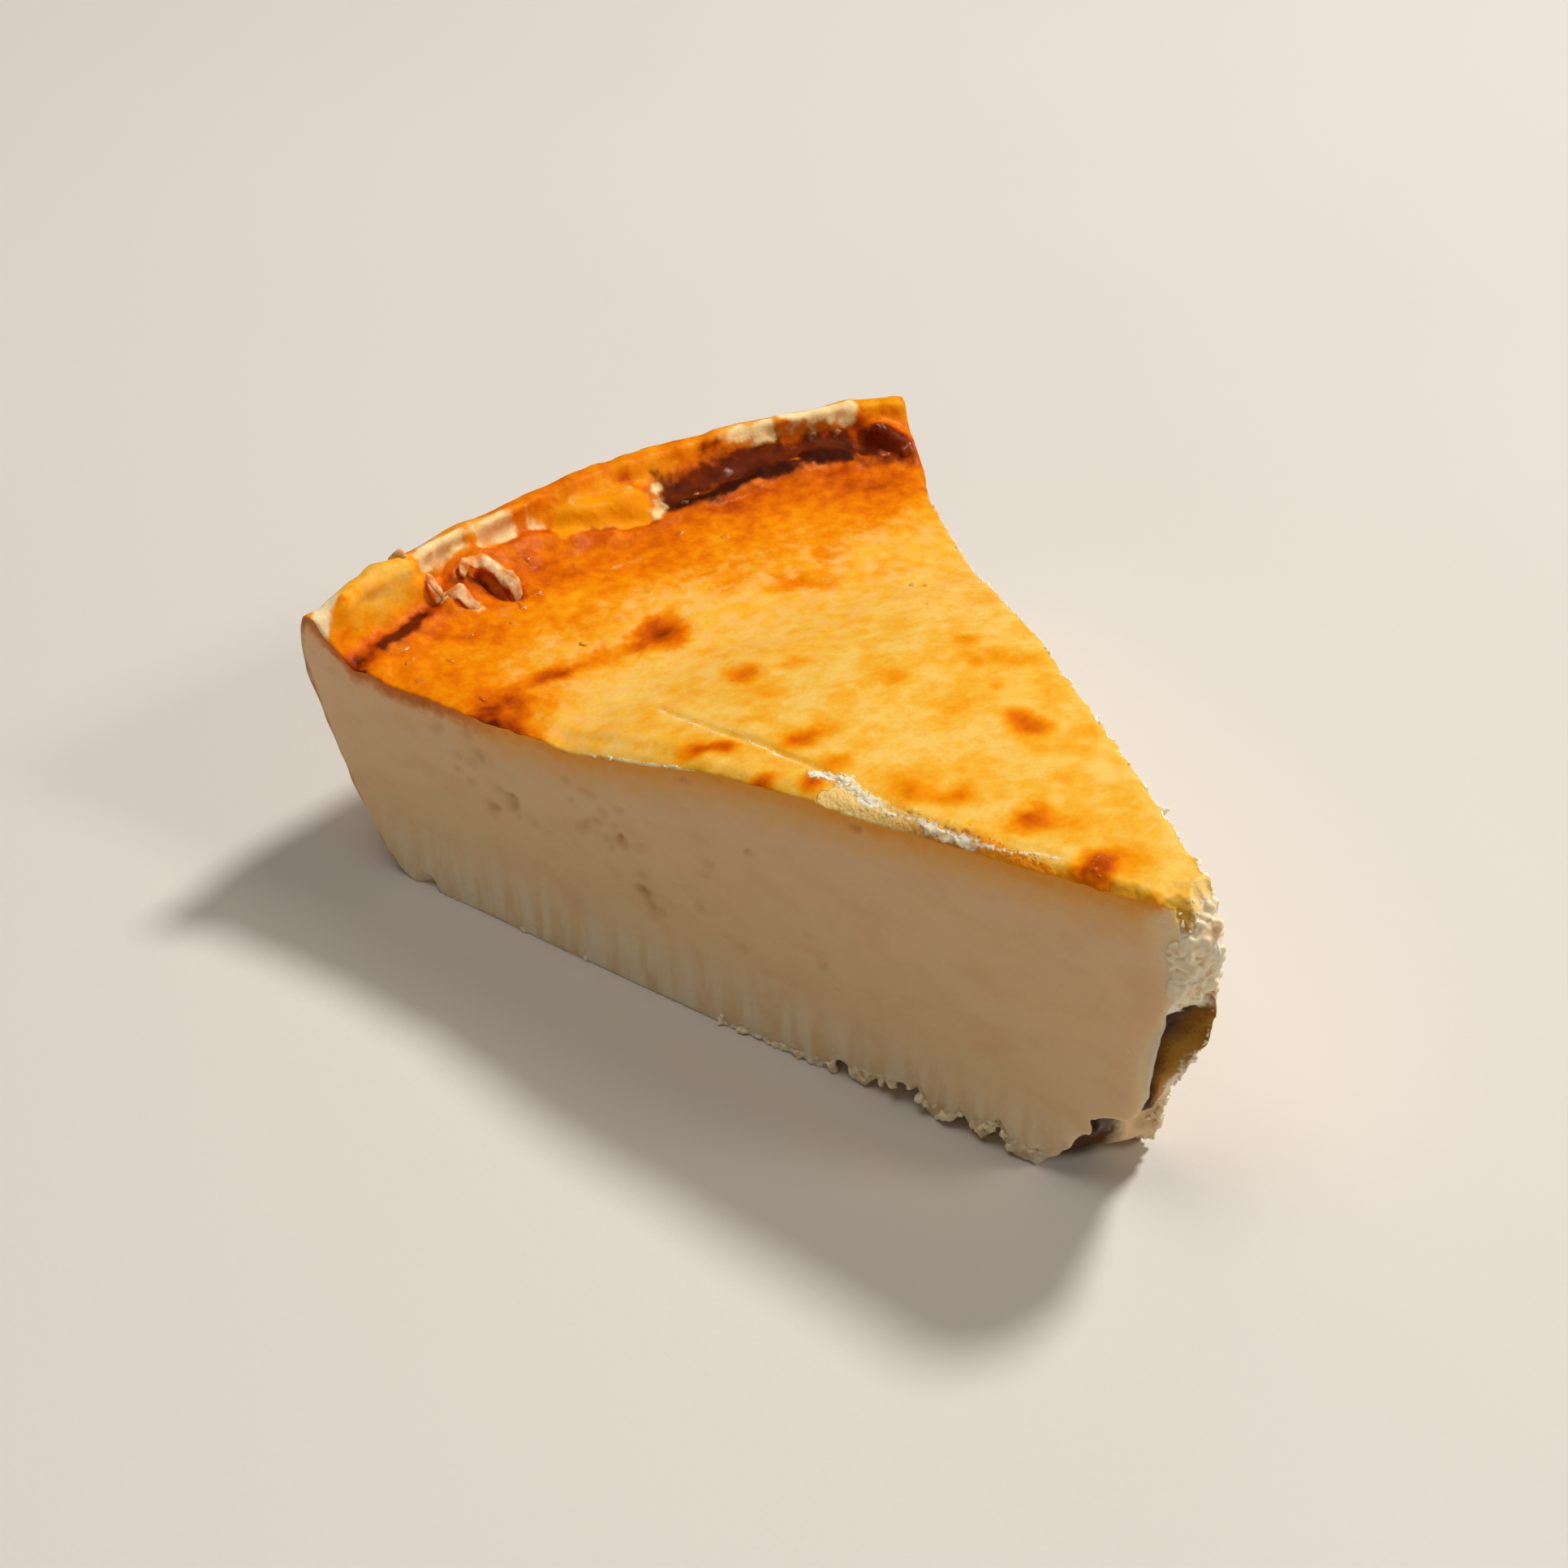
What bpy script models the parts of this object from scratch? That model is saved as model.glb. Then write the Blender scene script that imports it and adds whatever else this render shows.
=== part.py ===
"""A wedge cut from a plain baked cheesecake: set cream under a browned skin, with no base.

The wedge is one solid. It stands on its flat underside, with its broken tip towards -Y and the
cake's outer wall towards +Y. Plan positions below are in millimetres from the middle of the
whole cake: across is +X, and out is +Y. The finished mesh is in metres, centred over its box.
"""

import math

import bmesh
import bpy
from mathutils import Vector, noise

MM = 0.001

# The cake and the cut
CAKE_RADIUS = 115.0
WEDGE_ANGLE = math.radians(42.7)
BOX_MIDDLE = 60.2  # how far out from the middle of the cake the wedge's own box is centred
LEFT, RIGHT = -1.0, 1.0  # the two cut faces, at -X and +X

# Smooth curves, as (distance from the middle of the cake, height)
TOP_CURVE = ((0, 43.5), (9, 42.6), (30, 40.1), (57, 36.4), (72, 32.8), (80, 30.5), (89, 29.8),
             (103, 29.3), (107, 30.2), (111, 31.9), (113.4, 33.8), (115, 34.1))
# Smooth curves, as (height, distance from the middle of the cake)
WALL_CURVE = ((0, 104.6), (1.5, 106.4), (6, 109.2), (15, 113.0), (23, 115.4), (28, 116.4), (32, 116.0),
              (34.1, 115.0))
TIP_CURVES = {
    LEFT: ((0, 19), (2, 16.2), (5, 14.4), (9.5, 12.6), (11.5, 9.4), (14, 8.3), (25, 7.3), (34, 5.8),
           (40, 7.2), (43, 8.8)),
    RIGHT: ((0, 15.6), (4, 13.2), (10, 12.0), (16, 9.3), (21, 7.1), (24, 5.2), (37, 5.3), (43, 9.4)),
}
# Straight runs, as (distance from the middle of the cake, height of the left face's lower edge)
WORN_LEFT_EDGE = ((0, 0), (15, 3.4), (18, 0.8), (20, 0.1), (22.5, 0.3), (24, 3.0), (27, 2.6),
                  (30.5, 2.0), (31.8, 0.1), (33, 0.2), (34, 2.9), (38, 2.5), (43, 1.5), (46, 0.2), (50, 0))
WORN_EDGE_DEPTH = 5.5

# The hollow in the broken tip, and the crumbly mass that overhangs it
TIP_HOLLOW = {"height": 21.0, "reach": 10.0, "depth": 2.6}
TIP_BROW = {"height": 36.5, "reach": 6.0, "depth": -0.9}
# How far into the wedge the tip's shape, its crumbs and the wall's shape carry
TIP_REACH = 27.0
TIP_CRUMB_REACH = 6.0
WALL_REACH = 24.0

# Folds in the skin: (path in plan, half width, height), with grooves below zero
RIM_FOLDS = (
    (((6, 108.0), (14, 107.6), (23, 108.0), (30, 107.2), (34, 104.0)), 3.0, -1.1),
    (((36.2, 104.0), (37.6, 101.0)), 2.6, 1.3),
    (((-5, 109.9), (0, 109.4), (4.5, 109.0)), 2.6, 1.0),
    (((16, 112.6), (25, 111.6), (35, 108.9)), 1.5, 0.5),
    (((-25, 111.0), (-17, 112.3), (-8, 112.8)), 1.7, 0.6),
    (((-17, 110.2), (-10, 110.9), (-4, 108.4), (3, 106.6)), 1.5, -0.9),
    (((-20.6, 109.0), (-18.3, 110.2), (-16.2, 108.0), (-16.4, 104.2)), 1.2, 1.6),
    (((-19.8, 107.6), (-18.6, 104.6), (-17.4, 102.8)), 1.3, -1.5),
    (((-24.2, 107.4), (-22.6, 109.8)), 1.6, -1.4),
    (((-40.5, 99.6), (-36, 103.0), (-31, 104.2), (-26.5, 105.6)), 1.9, -1.5),
    (((-37, 107.3), (-32, 108.6), (-28, 109.2)), 3.4, 1.3),
    (((-25, 103.4), (-22.6, 105.4)), 1.7, 0.9),
    (((12, 104.2), (22, 104.3), (32, 102.4)), 1.4, -0.45),
)
PLATEAU_FOLDS = (
    (((-33.5, 86.0), (-23, 88.0), (-12, 86.2), (-6.5, 87.2)), 2.2, -0.6),
    (((-32, 83.0), (-29.5, 80.5)), 3.2, -0.5),
    (((-8.2, 86.0), (-6.5, 87.0)), 2.4, -0.45),
    (((6, 86.0), (13, 83.6), (17, 88.0)), 3.0, -0.25),
)
TORN_EDGE = (
    (((-28, 75), (-24.5, 66), (-22, 60)), 2.4, -0.5),
    (((-18, 72), (-16.6, 62), (-14.5, 51), (-13.6, 45)), 0.9, -0.4),
    (((-14.6, 45), (-13.4, 40), (-11.6, 33), (-9.2, 27), (-6.6, 20)), 2.0, -1.0),
    (((-2.6, 8.6), (0, 8.4)), 1.8, -0.8),
)
# Blisters under the skin: (across, out, radius, height)
BLISTERS = (
    (-33.3, 101.0, 1.5, 0.7), (-30.0, 96.4, 1.7, 0.5), (-34.0, 95.2, 1.4, 0.4), (-23.5, 96.3, 1.8, 0.4),
    (-20.7, 100.3, 1.6, 0.5), (-14.9, 102.4, 1.7, 0.5), (-2.4, 101.2, 2.3, 0.5), (-4.2, 94.6, 1.8, 0.35),
    (-24.7, 91.2, 1.8, 0.4), (-31.8, 87.2, 1.5, 0.6), (-16.7, 86.0, 1.6, 0.4), (-28.0, 82.2, 1.5, 0.35),
    (-8.6, 83.0, 1.5, 0.4), (-3.5, 16.6, 2.6, 0.5), (-3.7, 26.3, 2.0, 0.2), (7.0, 39.4, 2.2, -0.25),
    (-7.0, 70.5, 2.2, -0.3), (-11.7, 53.5, 2.0, -0.25), (-9.0, 37.6, 2.4, 0.25), (38.0, 99.0, 1.6, 0.6),
)
# Pits in the cut faces: (distance from the middle of the cake, height, radius, depth)
FACE_PITS = {
    LEFT: ((92, 23, 1.6, 0.5), (87, 19.5, 2.0, 0.6), (82, 17, 1.4, 0.5), (72, 25, 1.2, 0.5),
           (69, 21, 1.6, 0.6), (63, 29, 1.0, 0.4), (42, 36, 1.0, 0.4), (101.5, 0.5, 1.8, 1.2)),
    RIGHT: ((96, 14, 1.8, 0.6), (78, 22, 1.5, 0.5), (60, 11, 1.7, 0.5), (49, 28, 1.2, 0.5), (33, 17, 1.4, 0.5)),
}

# The cut faces: how far they lie inside the cut's plane all over, where the skin's edge is torn
# back, where the lower edge crumbles, and how far the rim swells out, on each face
FACE_INSET = 0.15
RAGGED_TOP = {LEFT: 0.45, RIGHT: 0.7}
RAGGED_TOP_BAND = 2.2
RAGGED_BOTTOM = 0.9
RAGGED_BOTTOM_BAND = 5.0
RAGGED_BOTTOM_END = 62.0  # the lower edge is clean beyond this distance from the cake's middle
RIM_SWELL = {LEFT: 0.2, RIGHT: 0.9}
RIM_SWELL_BAND = 9.0
RIM_START = 97.0

# Uneven surfaces: (height, size of a lump, seed)
TOP_LUMPS = ((0.3, 22.0, 0.0), (0.12, 6.0, 3.0))
RIM_LUMPS = ((0.35, 2.6, 5.0),)
FOLD_WANDER = ((0.7, 3.5, 7.0),)
FACE_WAVES = ((0.12, 9.0, 11.0),)
EDGE_CRUMBS = ((0.5, 1.6, 2.0),)
TIP_CRUMBS = ((0.75, 2.6, 13.0), (0.38, 1.2, 17.0))
WALL_WRINKLES = ((0.35, 5.0, 19.0),)
WORN_EDGE_WANDER = ((0.5, 3.5, 23.0),)

# The lattice that is shaped: cells along a radius, across the wedge and up, then how many
# triangles are left of it once the even stretches are thinned out
CELLS = (110, 60, 30)
KEPT_SHARE = 0.2
END_CROWDING = 0.55  # how much closer the cells lie at the tip and at the wall
NEARLY_FLAT = 0.05  # what lies lower than this belongs to the flat underside

CREAM = {"name": "set_cream", "color": (0.86, 0.74, 0.52), "roughness": 0.6}
SKIN = {"name": "browned_skin", "color": (0.86, 0.33, 0.04), "roughness": 0.28}
WALL = {"name": "baked_wall", "color": (0.62, 0.25, 0.06), "roughness": 0.5}
FINISHES = (CREAM, SKIN, WALL)
SHARP_ANGLE = math.radians(40)


def clear_scene():
    for item in list(bpy.data.objects):
        bpy.data.objects.remove(item)


def smooth_step(value):
    value = min(max(value, 0.0), 1.0)
    return value * value * (3.0 - 2.0 * value)


def mix(start, end, share):
    return start + (end - start) * share


def bump(distance, reach):
    """1 at no distance, easing to 0 at reach."""
    return 1.0 - smooth_step(abs(distance) / reach)


def straight_curve(points, at):
    """The height of a run of straight lines through points."""
    for (x0, y0), (x1, y1) in zip(points, points[1:]):
        if at <= x1:
            return mix(y0, y1, max(at - x0, 0.0) / (x1 - x0))
    return points[-1][1]


def smooth_curve(points, at):
    """The height of a smooth curve through points, level with its ends beyond them."""
    at = min(max(at, points[0][0]), points[-1][0])
    span = max(i for i in range(len(points) - 1) if points[i][0] <= at)
    slopes = []
    for i in (span, span + 1):
        before, after = points[max(i - 1, 0)], points[min(i + 1, len(points) - 1)]
        slopes.append((after[1] - before[1]) / (after[0] - before[0]))
    (x0, y0), (x1, y1) = points[span], points[span + 1]
    width = x1 - x0
    t = (at - x0) / width
    return (y0 * (1 + 2 * t) * (1 - t) ** 2 + slopes[0] * width * t * (1 - t) ** 2
            + y1 * t * t * (3 - 2 * t) + slopes[1] * width * t * t * (t - 1))


def distance_to_path(across, out, path):
    place = Vector((across, out))
    nearest = math.inf
    for start, end in zip(path, path[1:]):
        start, run = Vector(start), Vector(end) - Vector(start)
        share = min(max((place - start).dot(run) / run.length_squared, 0.0), 1.0)
        nearest = min(nearest, (place - start - run * share).length)
    return nearest


def lumps(layers, *place):
    """The height of smooth noise at a place of two or three coordinates."""
    place = Vector(place).to_3d()
    total = 0.0
    for height, size, seed in layers:
        total += height * noise.noise(place / size + Vector((seed, -seed, 0.5 * seed)))
    return total


def skin_relief(across, out):
    """How far the browned skin stands above the smooth top."""
    height = lumps(TOP_LUMPS, across, out)
    wander = lumps(FOLD_WANDER, across, out)
    for path, half_width, rise in RIM_FOLDS + PLATEAU_FOLDS + TORN_EDGE:
        height += rise * bump(max(distance_to_path(across, out, path) + wander, 0.0), half_width)
    for middle_across, middle_out, radius, rise in BLISTERS:
        height += rise * bump(math.hypot(across - middle_across, out - middle_out), radius)
    rim = smooth_step((math.hypot(across, out) - RIM_START) / RIM_SWELL_BAND)
    return height + rim * lumps(RIM_LUMPS, across, out)


def top_height(across, out):
    return smooth_curve(TOP_CURVE, math.hypot(across, out)) + skin_relief(across, out)


def underside_height(radius, from_left_face):
    """Zero on the flat underside, higher where the left face's lower edge is worn away."""
    worn = straight_curve(WORN_LEFT_EDGE, radius)
    reach = WORN_EDGE_DEPTH * (1.0 + lumps(WORN_EDGE_WANDER, radius, from_left_face))
    return max(worn * bump(from_left_face, reach), 0.0)


def tip_radius(height, side_share):
    """Where the broken tip starts, side_share going from 0 at the left face to 1 at the right."""
    radius = mix(smooth_curve(TIP_CURVES[LEFT], height), smooth_curve(TIP_CURVES[RIGHT], height), side_share)
    middle = math.sin(math.pi * side_share)
    for dent in (TIP_HOLLOW, TIP_BROW):
        radius += dent["depth"] * middle * bump(height - dent["height"], dent["reach"])
    return radius


def face_inset(side, radius, height, top):
    """How far a cut face lies inside its plane: pits, drag waves and ragged edges."""
    inset = FACE_INSET + lumps(FACE_WAVES, radius, height, side)
    for pit_radius, pit_height, reach, depth in FACE_PITS[side]:
        inset += depth * bump(math.hypot(radius - pit_radius, height - pit_height), reach)
    ragged = 0.5 + lumps(EDGE_CRUMBS, radius, height, side * radius)
    rim = smooth_step((radius - RIM_START) / RIM_SWELL_BAND)
    inset += RAGGED_TOP[side] * ragged * (1.0 - rim) * bump(top - height, RAGGED_TOP_BAND)
    inset -= RIM_SWELL[side] * rim * bump(top - height, RIM_SWELL_BAND)
    crumbling = bump(height, RAGGED_BOTTOM_BAND) * smooth_step((RAGGED_BOTTOM_END - radius) / WALL_REACH)
    return inset + RAGGED_BOTTOM * ragged * crumbling


def shaped_place(along, side_share, up):
    """Where a lattice point goes: along runs from the tip to the wall, up from the underside to
    the top, and side_share from the left face to the right. All three run from 0 to 1."""
    crowded = along - END_CROWDING * math.sin(math.tau * along) / math.tau
    start = tip_radius(TOP_CURVE[0][1], side_share)
    radius = mix(start, CAKE_RADIUS, crowded)
    half_angle = WEDGE_ANGLE / 2
    angle = mix(-half_angle, half_angle, side_share)
    top = top_height(radius * math.sin(angle), radius * math.cos(angle))

    height = up * top
    near_tip = bump(radius - start, TIP_REACH)
    near_wall = bump(CAKE_RADIUS - radius, WALL_REACH)
    crumbs = lumps(TIP_CRUMBS, radius * angle, radius, height) * bump(radius - start, TIP_CRUMB_REACH)
    radius += (tip_radius(height, side_share) - start + crumbs) * near_tip
    wrinkles = lumps(WALL_WRINKLES, radius * angle, 0.0, height)
    radius += (smooth_curve(WALL_CURVE, height) - CAKE_RADIUS + wrinkles) * near_wall

    left_inset = face_inset(LEFT, radius, height, top)
    right_inset = face_inset(RIGHT, radius, height, top)
    angle = mix(-half_angle + left_inset / radius, half_angle - right_inset / radius, side_share)
    from_left_face = radius * (angle + half_angle)
    floor = underside_height(radius, from_left_face)
    height = floor + up * (top - floor)
    return Vector((radius * math.sin(angle), radius * math.cos(angle), height))


def lattice_block():
    """A unit cube whose six faces are cut into CELLS."""
    block = bmesh.new()
    bmesh.ops.create_cube(block, size=1.0)
    for axis, cells in enumerate(CELLS):
        runs = [e for e in block.edges if abs(e.verts[0].co[axis] - e.verts[1].co[axis]) > 0.5]
        bmesh.ops.subdivide_edges(block, edges=runs, cuts=cells - 1, use_grid_fill=True)
    return block


def finish_of_face(face):
    """Which of the materials a cube's face has: skin on top, the baked wall outside, else cream."""
    if face.normal.z > 0.5:
        return FINISHES.index(SKIN)
    return FINISHES.index(WALL if face.normal.x > 0.5 else CREAM)


def shape_block(block):
    block.normal_update()
    for face in block.faces:
        face.material_index = finish_of_face(face)
    for vert in block.verts:
        along, side_share, up = vert.co + Vector((0.5, 0.5, 0.5))
        place = shaped_place(along, side_share, up)
        vert.co = Vector((place.x, place.y - BOX_MIDDLE, place.z)) * MM
    # Along and across have changed places, which turned the block inside out
    bmesh.ops.reverse_faces(block, faces=block.faces)
    block.normal_update()


def make_material(finish):
    material = bpy.data.materials.new(finish["name"])
    material.use_nodes = True
    shader = material.node_tree.nodes["Principled BSDF"]
    shader.inputs["Base Color"].default_value = (*finish["color"], 1.0)
    shader.inputs["Roughness"].default_value = finish["roughness"]
    shader.inputs["Metallic"].default_value = 0.0
    return material


def thin_out(wedge):
    """Fewer triangles where the surface is even, and a truly flat underside."""
    decimate = wedge.modifiers.new("thin_out", "DECIMATE")
    decimate.ratio = KEPT_SHARE
    decimate.use_collapse_triangulate = True
    evaluated = wedge.evaluated_get(bpy.context.evaluated_depsgraph_get())
    thinned = bpy.data.meshes.new_from_object(evaluated)
    wedge.modifiers.remove(decimate)
    for vert in thinned.vertices:
        if vert.co.z < NEARLY_FLAT * MM:
            vert.co.z = 0.0
    wedge.data = thinned


def make_cheesecake_slice():
    block = lattice_block()
    shape_block(block)
    mesh = bpy.data.meshes.new("cheesecake_slice")
    block.to_mesh(mesh)
    block.free()
    wedge = bpy.data.objects.new("cheesecake_slice", mesh)
    for finish in FINISHES:
        mesh.materials.append(make_material(finish))
    bpy.context.scene.collection.objects.link(wedge)
    thin_out(wedge)
    wedge.data.shade_smooth()
    wedge.data.set_sharp_from_angle(angle=SHARP_ANGLE)
    return wedge


def main():
    clear_scene()
    make_cheesecake_slice()


main()
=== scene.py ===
"""A wedge of plain baked cheesecake in a pale studio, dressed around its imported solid.

The wedge is shaped by the same curves as the solid, on a much finer lattice and with a few folds
softened. Crumbs, flakes, blisters and shreds of lifted skin are set onto it as pieces of their own.
Lengths in this script are millimetres, and plan positions are (across, out) from the middle of the
whole cake. The finished meshes are in metres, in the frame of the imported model.
"""

import math

import bmesh
import bpy
import numpy as np
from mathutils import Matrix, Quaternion, Vector, noise
from mathutils.bvhtree import BVHTree


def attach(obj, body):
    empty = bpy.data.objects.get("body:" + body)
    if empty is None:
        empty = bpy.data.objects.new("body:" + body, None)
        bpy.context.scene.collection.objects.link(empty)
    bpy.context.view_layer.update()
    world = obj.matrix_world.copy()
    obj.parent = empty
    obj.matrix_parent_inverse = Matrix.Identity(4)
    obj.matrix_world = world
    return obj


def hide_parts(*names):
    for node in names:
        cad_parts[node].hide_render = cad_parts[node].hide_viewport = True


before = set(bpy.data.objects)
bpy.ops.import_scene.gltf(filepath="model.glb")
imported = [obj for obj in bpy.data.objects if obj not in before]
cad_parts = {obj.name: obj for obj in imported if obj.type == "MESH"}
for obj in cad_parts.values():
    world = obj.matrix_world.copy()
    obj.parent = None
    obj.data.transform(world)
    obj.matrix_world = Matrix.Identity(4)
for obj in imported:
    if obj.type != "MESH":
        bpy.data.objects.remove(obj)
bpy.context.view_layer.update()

MM = 0.001
NODE = "cheesecake_slice"
BODY = "root"

# The cake and the cut, as in the solid. The top's height goes by the distance from the cake's middle,
# the wall's and the tip's place by the height, and the worn edge's height by that distance again.
CAKE_RADIUS = 115.0
WEDGE_ANGLE = math.radians(42.7)
HALF_ANGLE = WEDGE_ANGLE / 2
BOX_MIDDLE = 60.2
LEFT, RIGHT = -1.0, 1.0
TOP_CURVE = ((0, 43.5), (9, 42.6), (30, 40.1), (57, 36.4), (72, 32.8), (80, 30.5), (89, 29.8),
             (103, 29.3), (107, 30.2), (111, 31.9), (113.4, 33.8), (115, 34.1))
WALL_CURVE = ((0, 104.6), (1.5, 106.4), (6, 109.2), (15, 113), (23, 115.4), (28, 116.4), (32, 116),
              (34.1, 115))
TIP_CURVES = {
    LEFT: ((0, 19), (2, 16.2), (5, 14.4), (9.5, 12.6), (11.5, 9.4), (14, 8.3), (25, 7.3), (34, 5.8),
           (40, 7.2), (43, 8.8)),
    RIGHT: ((0, 15.6), (4, 13.2), (10, 12), (16, 9.3), (21, 7.1), (24, 5.2), (37, 5.3), (43, 9.4)),
}
WORN_LEFT_EDGE = ((0, 0), (15, 3.4), (18, 0.8), (20, 0.1), (22.5, 0.3), (24, 3), (27, 2.6),
                  (30.5, 2), (31.8, 0.1), (33, 0.2), (34, 2.9), (38, 2.5), (43, 1.5), (46, 0.2), (50, 0))
WORN_EDGE_DEPTH = 5.5
TEETH_START = 0.6
TIP_HOLLOW = {"height": 21, "reach": 10, "depth": 3.4, "lean": 0.6}
TIP_BROW = {"height": 36.5, "reach": 6, "depth": -0.9, "lean": 1.0}
TIP_REACH = 27.0
TIP_CRUMB_REACH = 6.0
WALL_REACH = 24.0
# Folds and creases of the skin: (path of (across, out), half width, rise)
FOLDS = (
    # At the rim
    (((6, 108.2), (14, 107.8), (23, 108), (30, 107), (34, 104)), 3.4, -0.8),
    (((36.2, 104), (37.6, 101)), 2.6, 1.3),
    (((-5, 109.9), (0, 109.4), (4.5, 109)), 2.6, 1),
    (((16, 112.6), (25, 111.6), (35, 108.9)), 1.5, 0.5),
    (((-25, 111), (-17, 112.3), (-8, 112.8)), 1.7, 0.6),
    (((-17, 110.2), (-10, 110.9), (-4, 108.4), (3, 106.6)), 1.5, -0.7),
    (((-20.6, 109), (-18.3, 110.2), (-16.2, 108), (-16.4, 104.2)), 1.2, 0.7),
    (((-19.8, 107.6), (-18.6, 104.6), (-17.4, 102.8)), 1.3, -1.5),
    (((-24.2, 107.4), (-22.6, 109.8)), 1.6, -1.2),
    (((-40.5, 99.6), (-36, 103), (-31, 104.2), (-26.5, 105.6)), 2.2, -1.1),
    (((-37, 107.3), (-32, 108.6), (-28, 109.2)), 3.4, 1.3),
    (((-25, 103.4), (-22.6, 105.4)), 1.7, 0.9),
    (((12, 104.2), (22, 104.3), (32, 102.4)), 1.4, -0.45),
    # Where the top falls to the rim
    (((-33.5, 86), (-23, 88), (-12, 86.2), (-6.5, 87.2)), 3, -0.3),
    (((-32, 83), (-29.5, 80.5)), 3.4, -0.35),
    (((-8.2, 86), (-6.5, 87)), 2.6, -0.2),
    (((6, 86), (13, 83.6), (17, 88)), 3, -0.2),
    # Along the left cut and at the tip
    (((-28, 75), (-24.5, 66), (-22, 60)), 2.4, -0.5),
    (((-18, 72), (-16.6, 62), (-14.5, 51), (-13.6, 45)), 0.9, -0.4),
    (((-14.6, 45), (-13.4, 40), (-11.6, 33), (-9.2, 27), (-6.6, 20)), 1.2, -0.2),
    (((-2.6, 8.6), (0, 8.4)), 1.8, -0.8),
)
# Swellings and dimples: (across, out, radius, rise)
SWELLINGS = (
    (-3.5, 16.6, 2.6, 0.5), (-3.7, 26.3, 2, 0.2), (7, 39.4, 2.2, -0.25), (-7, 70.5, 2.2, -0.3),
    (-11.7, 53.5, 2, -0.25), (-9, 37.6, 2.4, 0.25), (38, 99, 1.6, 0.5), (-27.8, 110.6, 1.2, 0.6),
    (-29.4, 111.2, 0.9, -0.6),
)
# Blisters that shine: (across, out, radius)
BLISTERS = (
    (-33.4, 100.8, 0.8), (-33.4, 98.5, 0.7), (-29.8, 96.2, 0.7), (-34.2, 94.8, 0.6), (-24.7, 91.2, 0.65),
    (-30.6, 87.9, 0.6), (-17.6, 100.8, 0.7), (-14.9, 102.1, 0.8), (-8.6, 103.9, 0.75), (-12.7, 107.1, 0.7),
    (-16.1, 89.8, 0.65), (-16.8, 85.9, 0.55), (-20.2, 98.4, 0.5), (-25.6, 99.4, 0.55), (-4.2, 94.6, 0.7),
    (5.8, 103.1, 0.65), (9.8, 99.1, 0.65), (16.7, 99.2, 0.65), (15.6, 92.3, 0.7), (26.8, 90, 0.7),
    (20.3, 75.4, 0.5), (21.1, 74.2, 0.5), (17.5, 69.2, 0.45), (-8.4, 83.3, 0.5), (-11.7, 84, 0.45),
    (9.4, 107.6, 0.7), (11.5, 108.2, 0.6), (17, 108.9, 0.7), (18.4, 109.4, 0.5), (29.4, 108, 0.6),
    (32.6, 107, 0.6), (36.6, 104.4, 0.8), (35.6, 101.6, 0.8), (38, 99.9, 0.7),
    (-4.6, 16.2, 0.34), (-3.9, 17.1, 0.38), (-3.1, 17.6, 0.3), (-2.6, 16.3, 0.34), (-1.2, 16.8, 0.28),
    (-4.9, 15.2, 0.32),
)
# Pits of the cut faces: (distance from the cake's middle, height, radius, depth)
FACE_PITS = {
    LEFT: ((92, 23, 1.6, 0.5), (87, 19.5, 2, 0.6), (82, 17, 1.4, 0.5), (72, 25, 1.2, 0.5),
           (69, 21, 1.6, 0.6), (63, 29, 1, 0.4), (42, 36, 1, 0.4), (101.5, 0.5, 1.8, 1.2)),
    RIGHT: ((96, 14, 1.8, 0.6), (78, 22, 1.5, 0.5), (60, 11, 1.7, 0.5), (49, 28, 1.2, 0.5),
            (33, 17, 1.4, 0.5)),
}
# Smaller pits in clusters: (from radius, height to radius, height, spread, how many)
PIT_CLUSTERS = {
    LEFT: ((78, 26, 67, 13, 1.8, 26), (97, 25, 86, 17, 2, 18), (60, 20, 48, 12, 5, 7)),
    RIGHT: ((96, 20, 70, 10, 4, 16), (60, 24, 26, 12, 5, 12)),
}
PIT_SEED = 2
PIT_REACH = (0.7, 1.5)
PIT_DEPTH = (0.1, 0.28)
FACE_INSET = 0.15
# Where the lower face is streaked by the knife
DRAGGED = {"height": 20, "radius": 38, "reach": 30, "stretch": 0.15}
RAGGED_TOP = {LEFT: 0.45, RIGHT: 0.7}
RAGGED_TOP_BAND = 2.2
# How the top rolls down at its cut edges: (distance from the cake's middle, drop) and how wide
EDGE_ROLL = {
    LEFT: ((6, 0.3), (12, 0.9), (20, 1), (24, 1.3), (44, 1.3), (48, 0.8), (60, 0.6), (64, 0.9), (78, 0.8),
           (82, 0.25), (115, 0.15)),
    RIGHT: ((6, 0.1), (12, 0.35), (98, 0.35), (104, 0.1), (115, 0.1)),
}
EDGE_ROLL_BAND = {
    LEFT: ((6, 1.2), (21.5, 1.6), (33, 1.8), (41, 2.7), (46, 3.4), (48, 1.8), (60, 1.5), (64, 1.8),
           (78, 1.6), (115, 1.4)),
    RIGHT: ((6, 1.3), (115, 1.3)),
}
# How far the left face curves in where it meets the brow over the tip, and how wide
BROW_ROUNDING = {"height": 36, "reach": 9, "depth": 1, "band": 3.2}
RAGGED_MEAN = 0.5
RAGGED_BOTTOM = 0.9
RAGGED_BOTTOM_BAND = 5.0
RAGGED_BOTTOM_END = 62.0
RIM_SWELL = {LEFT: 0.2, RIGHT: 0.9}
RIM_SWELL_BAND = 9.0
RIM_START = 97.0

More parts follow.
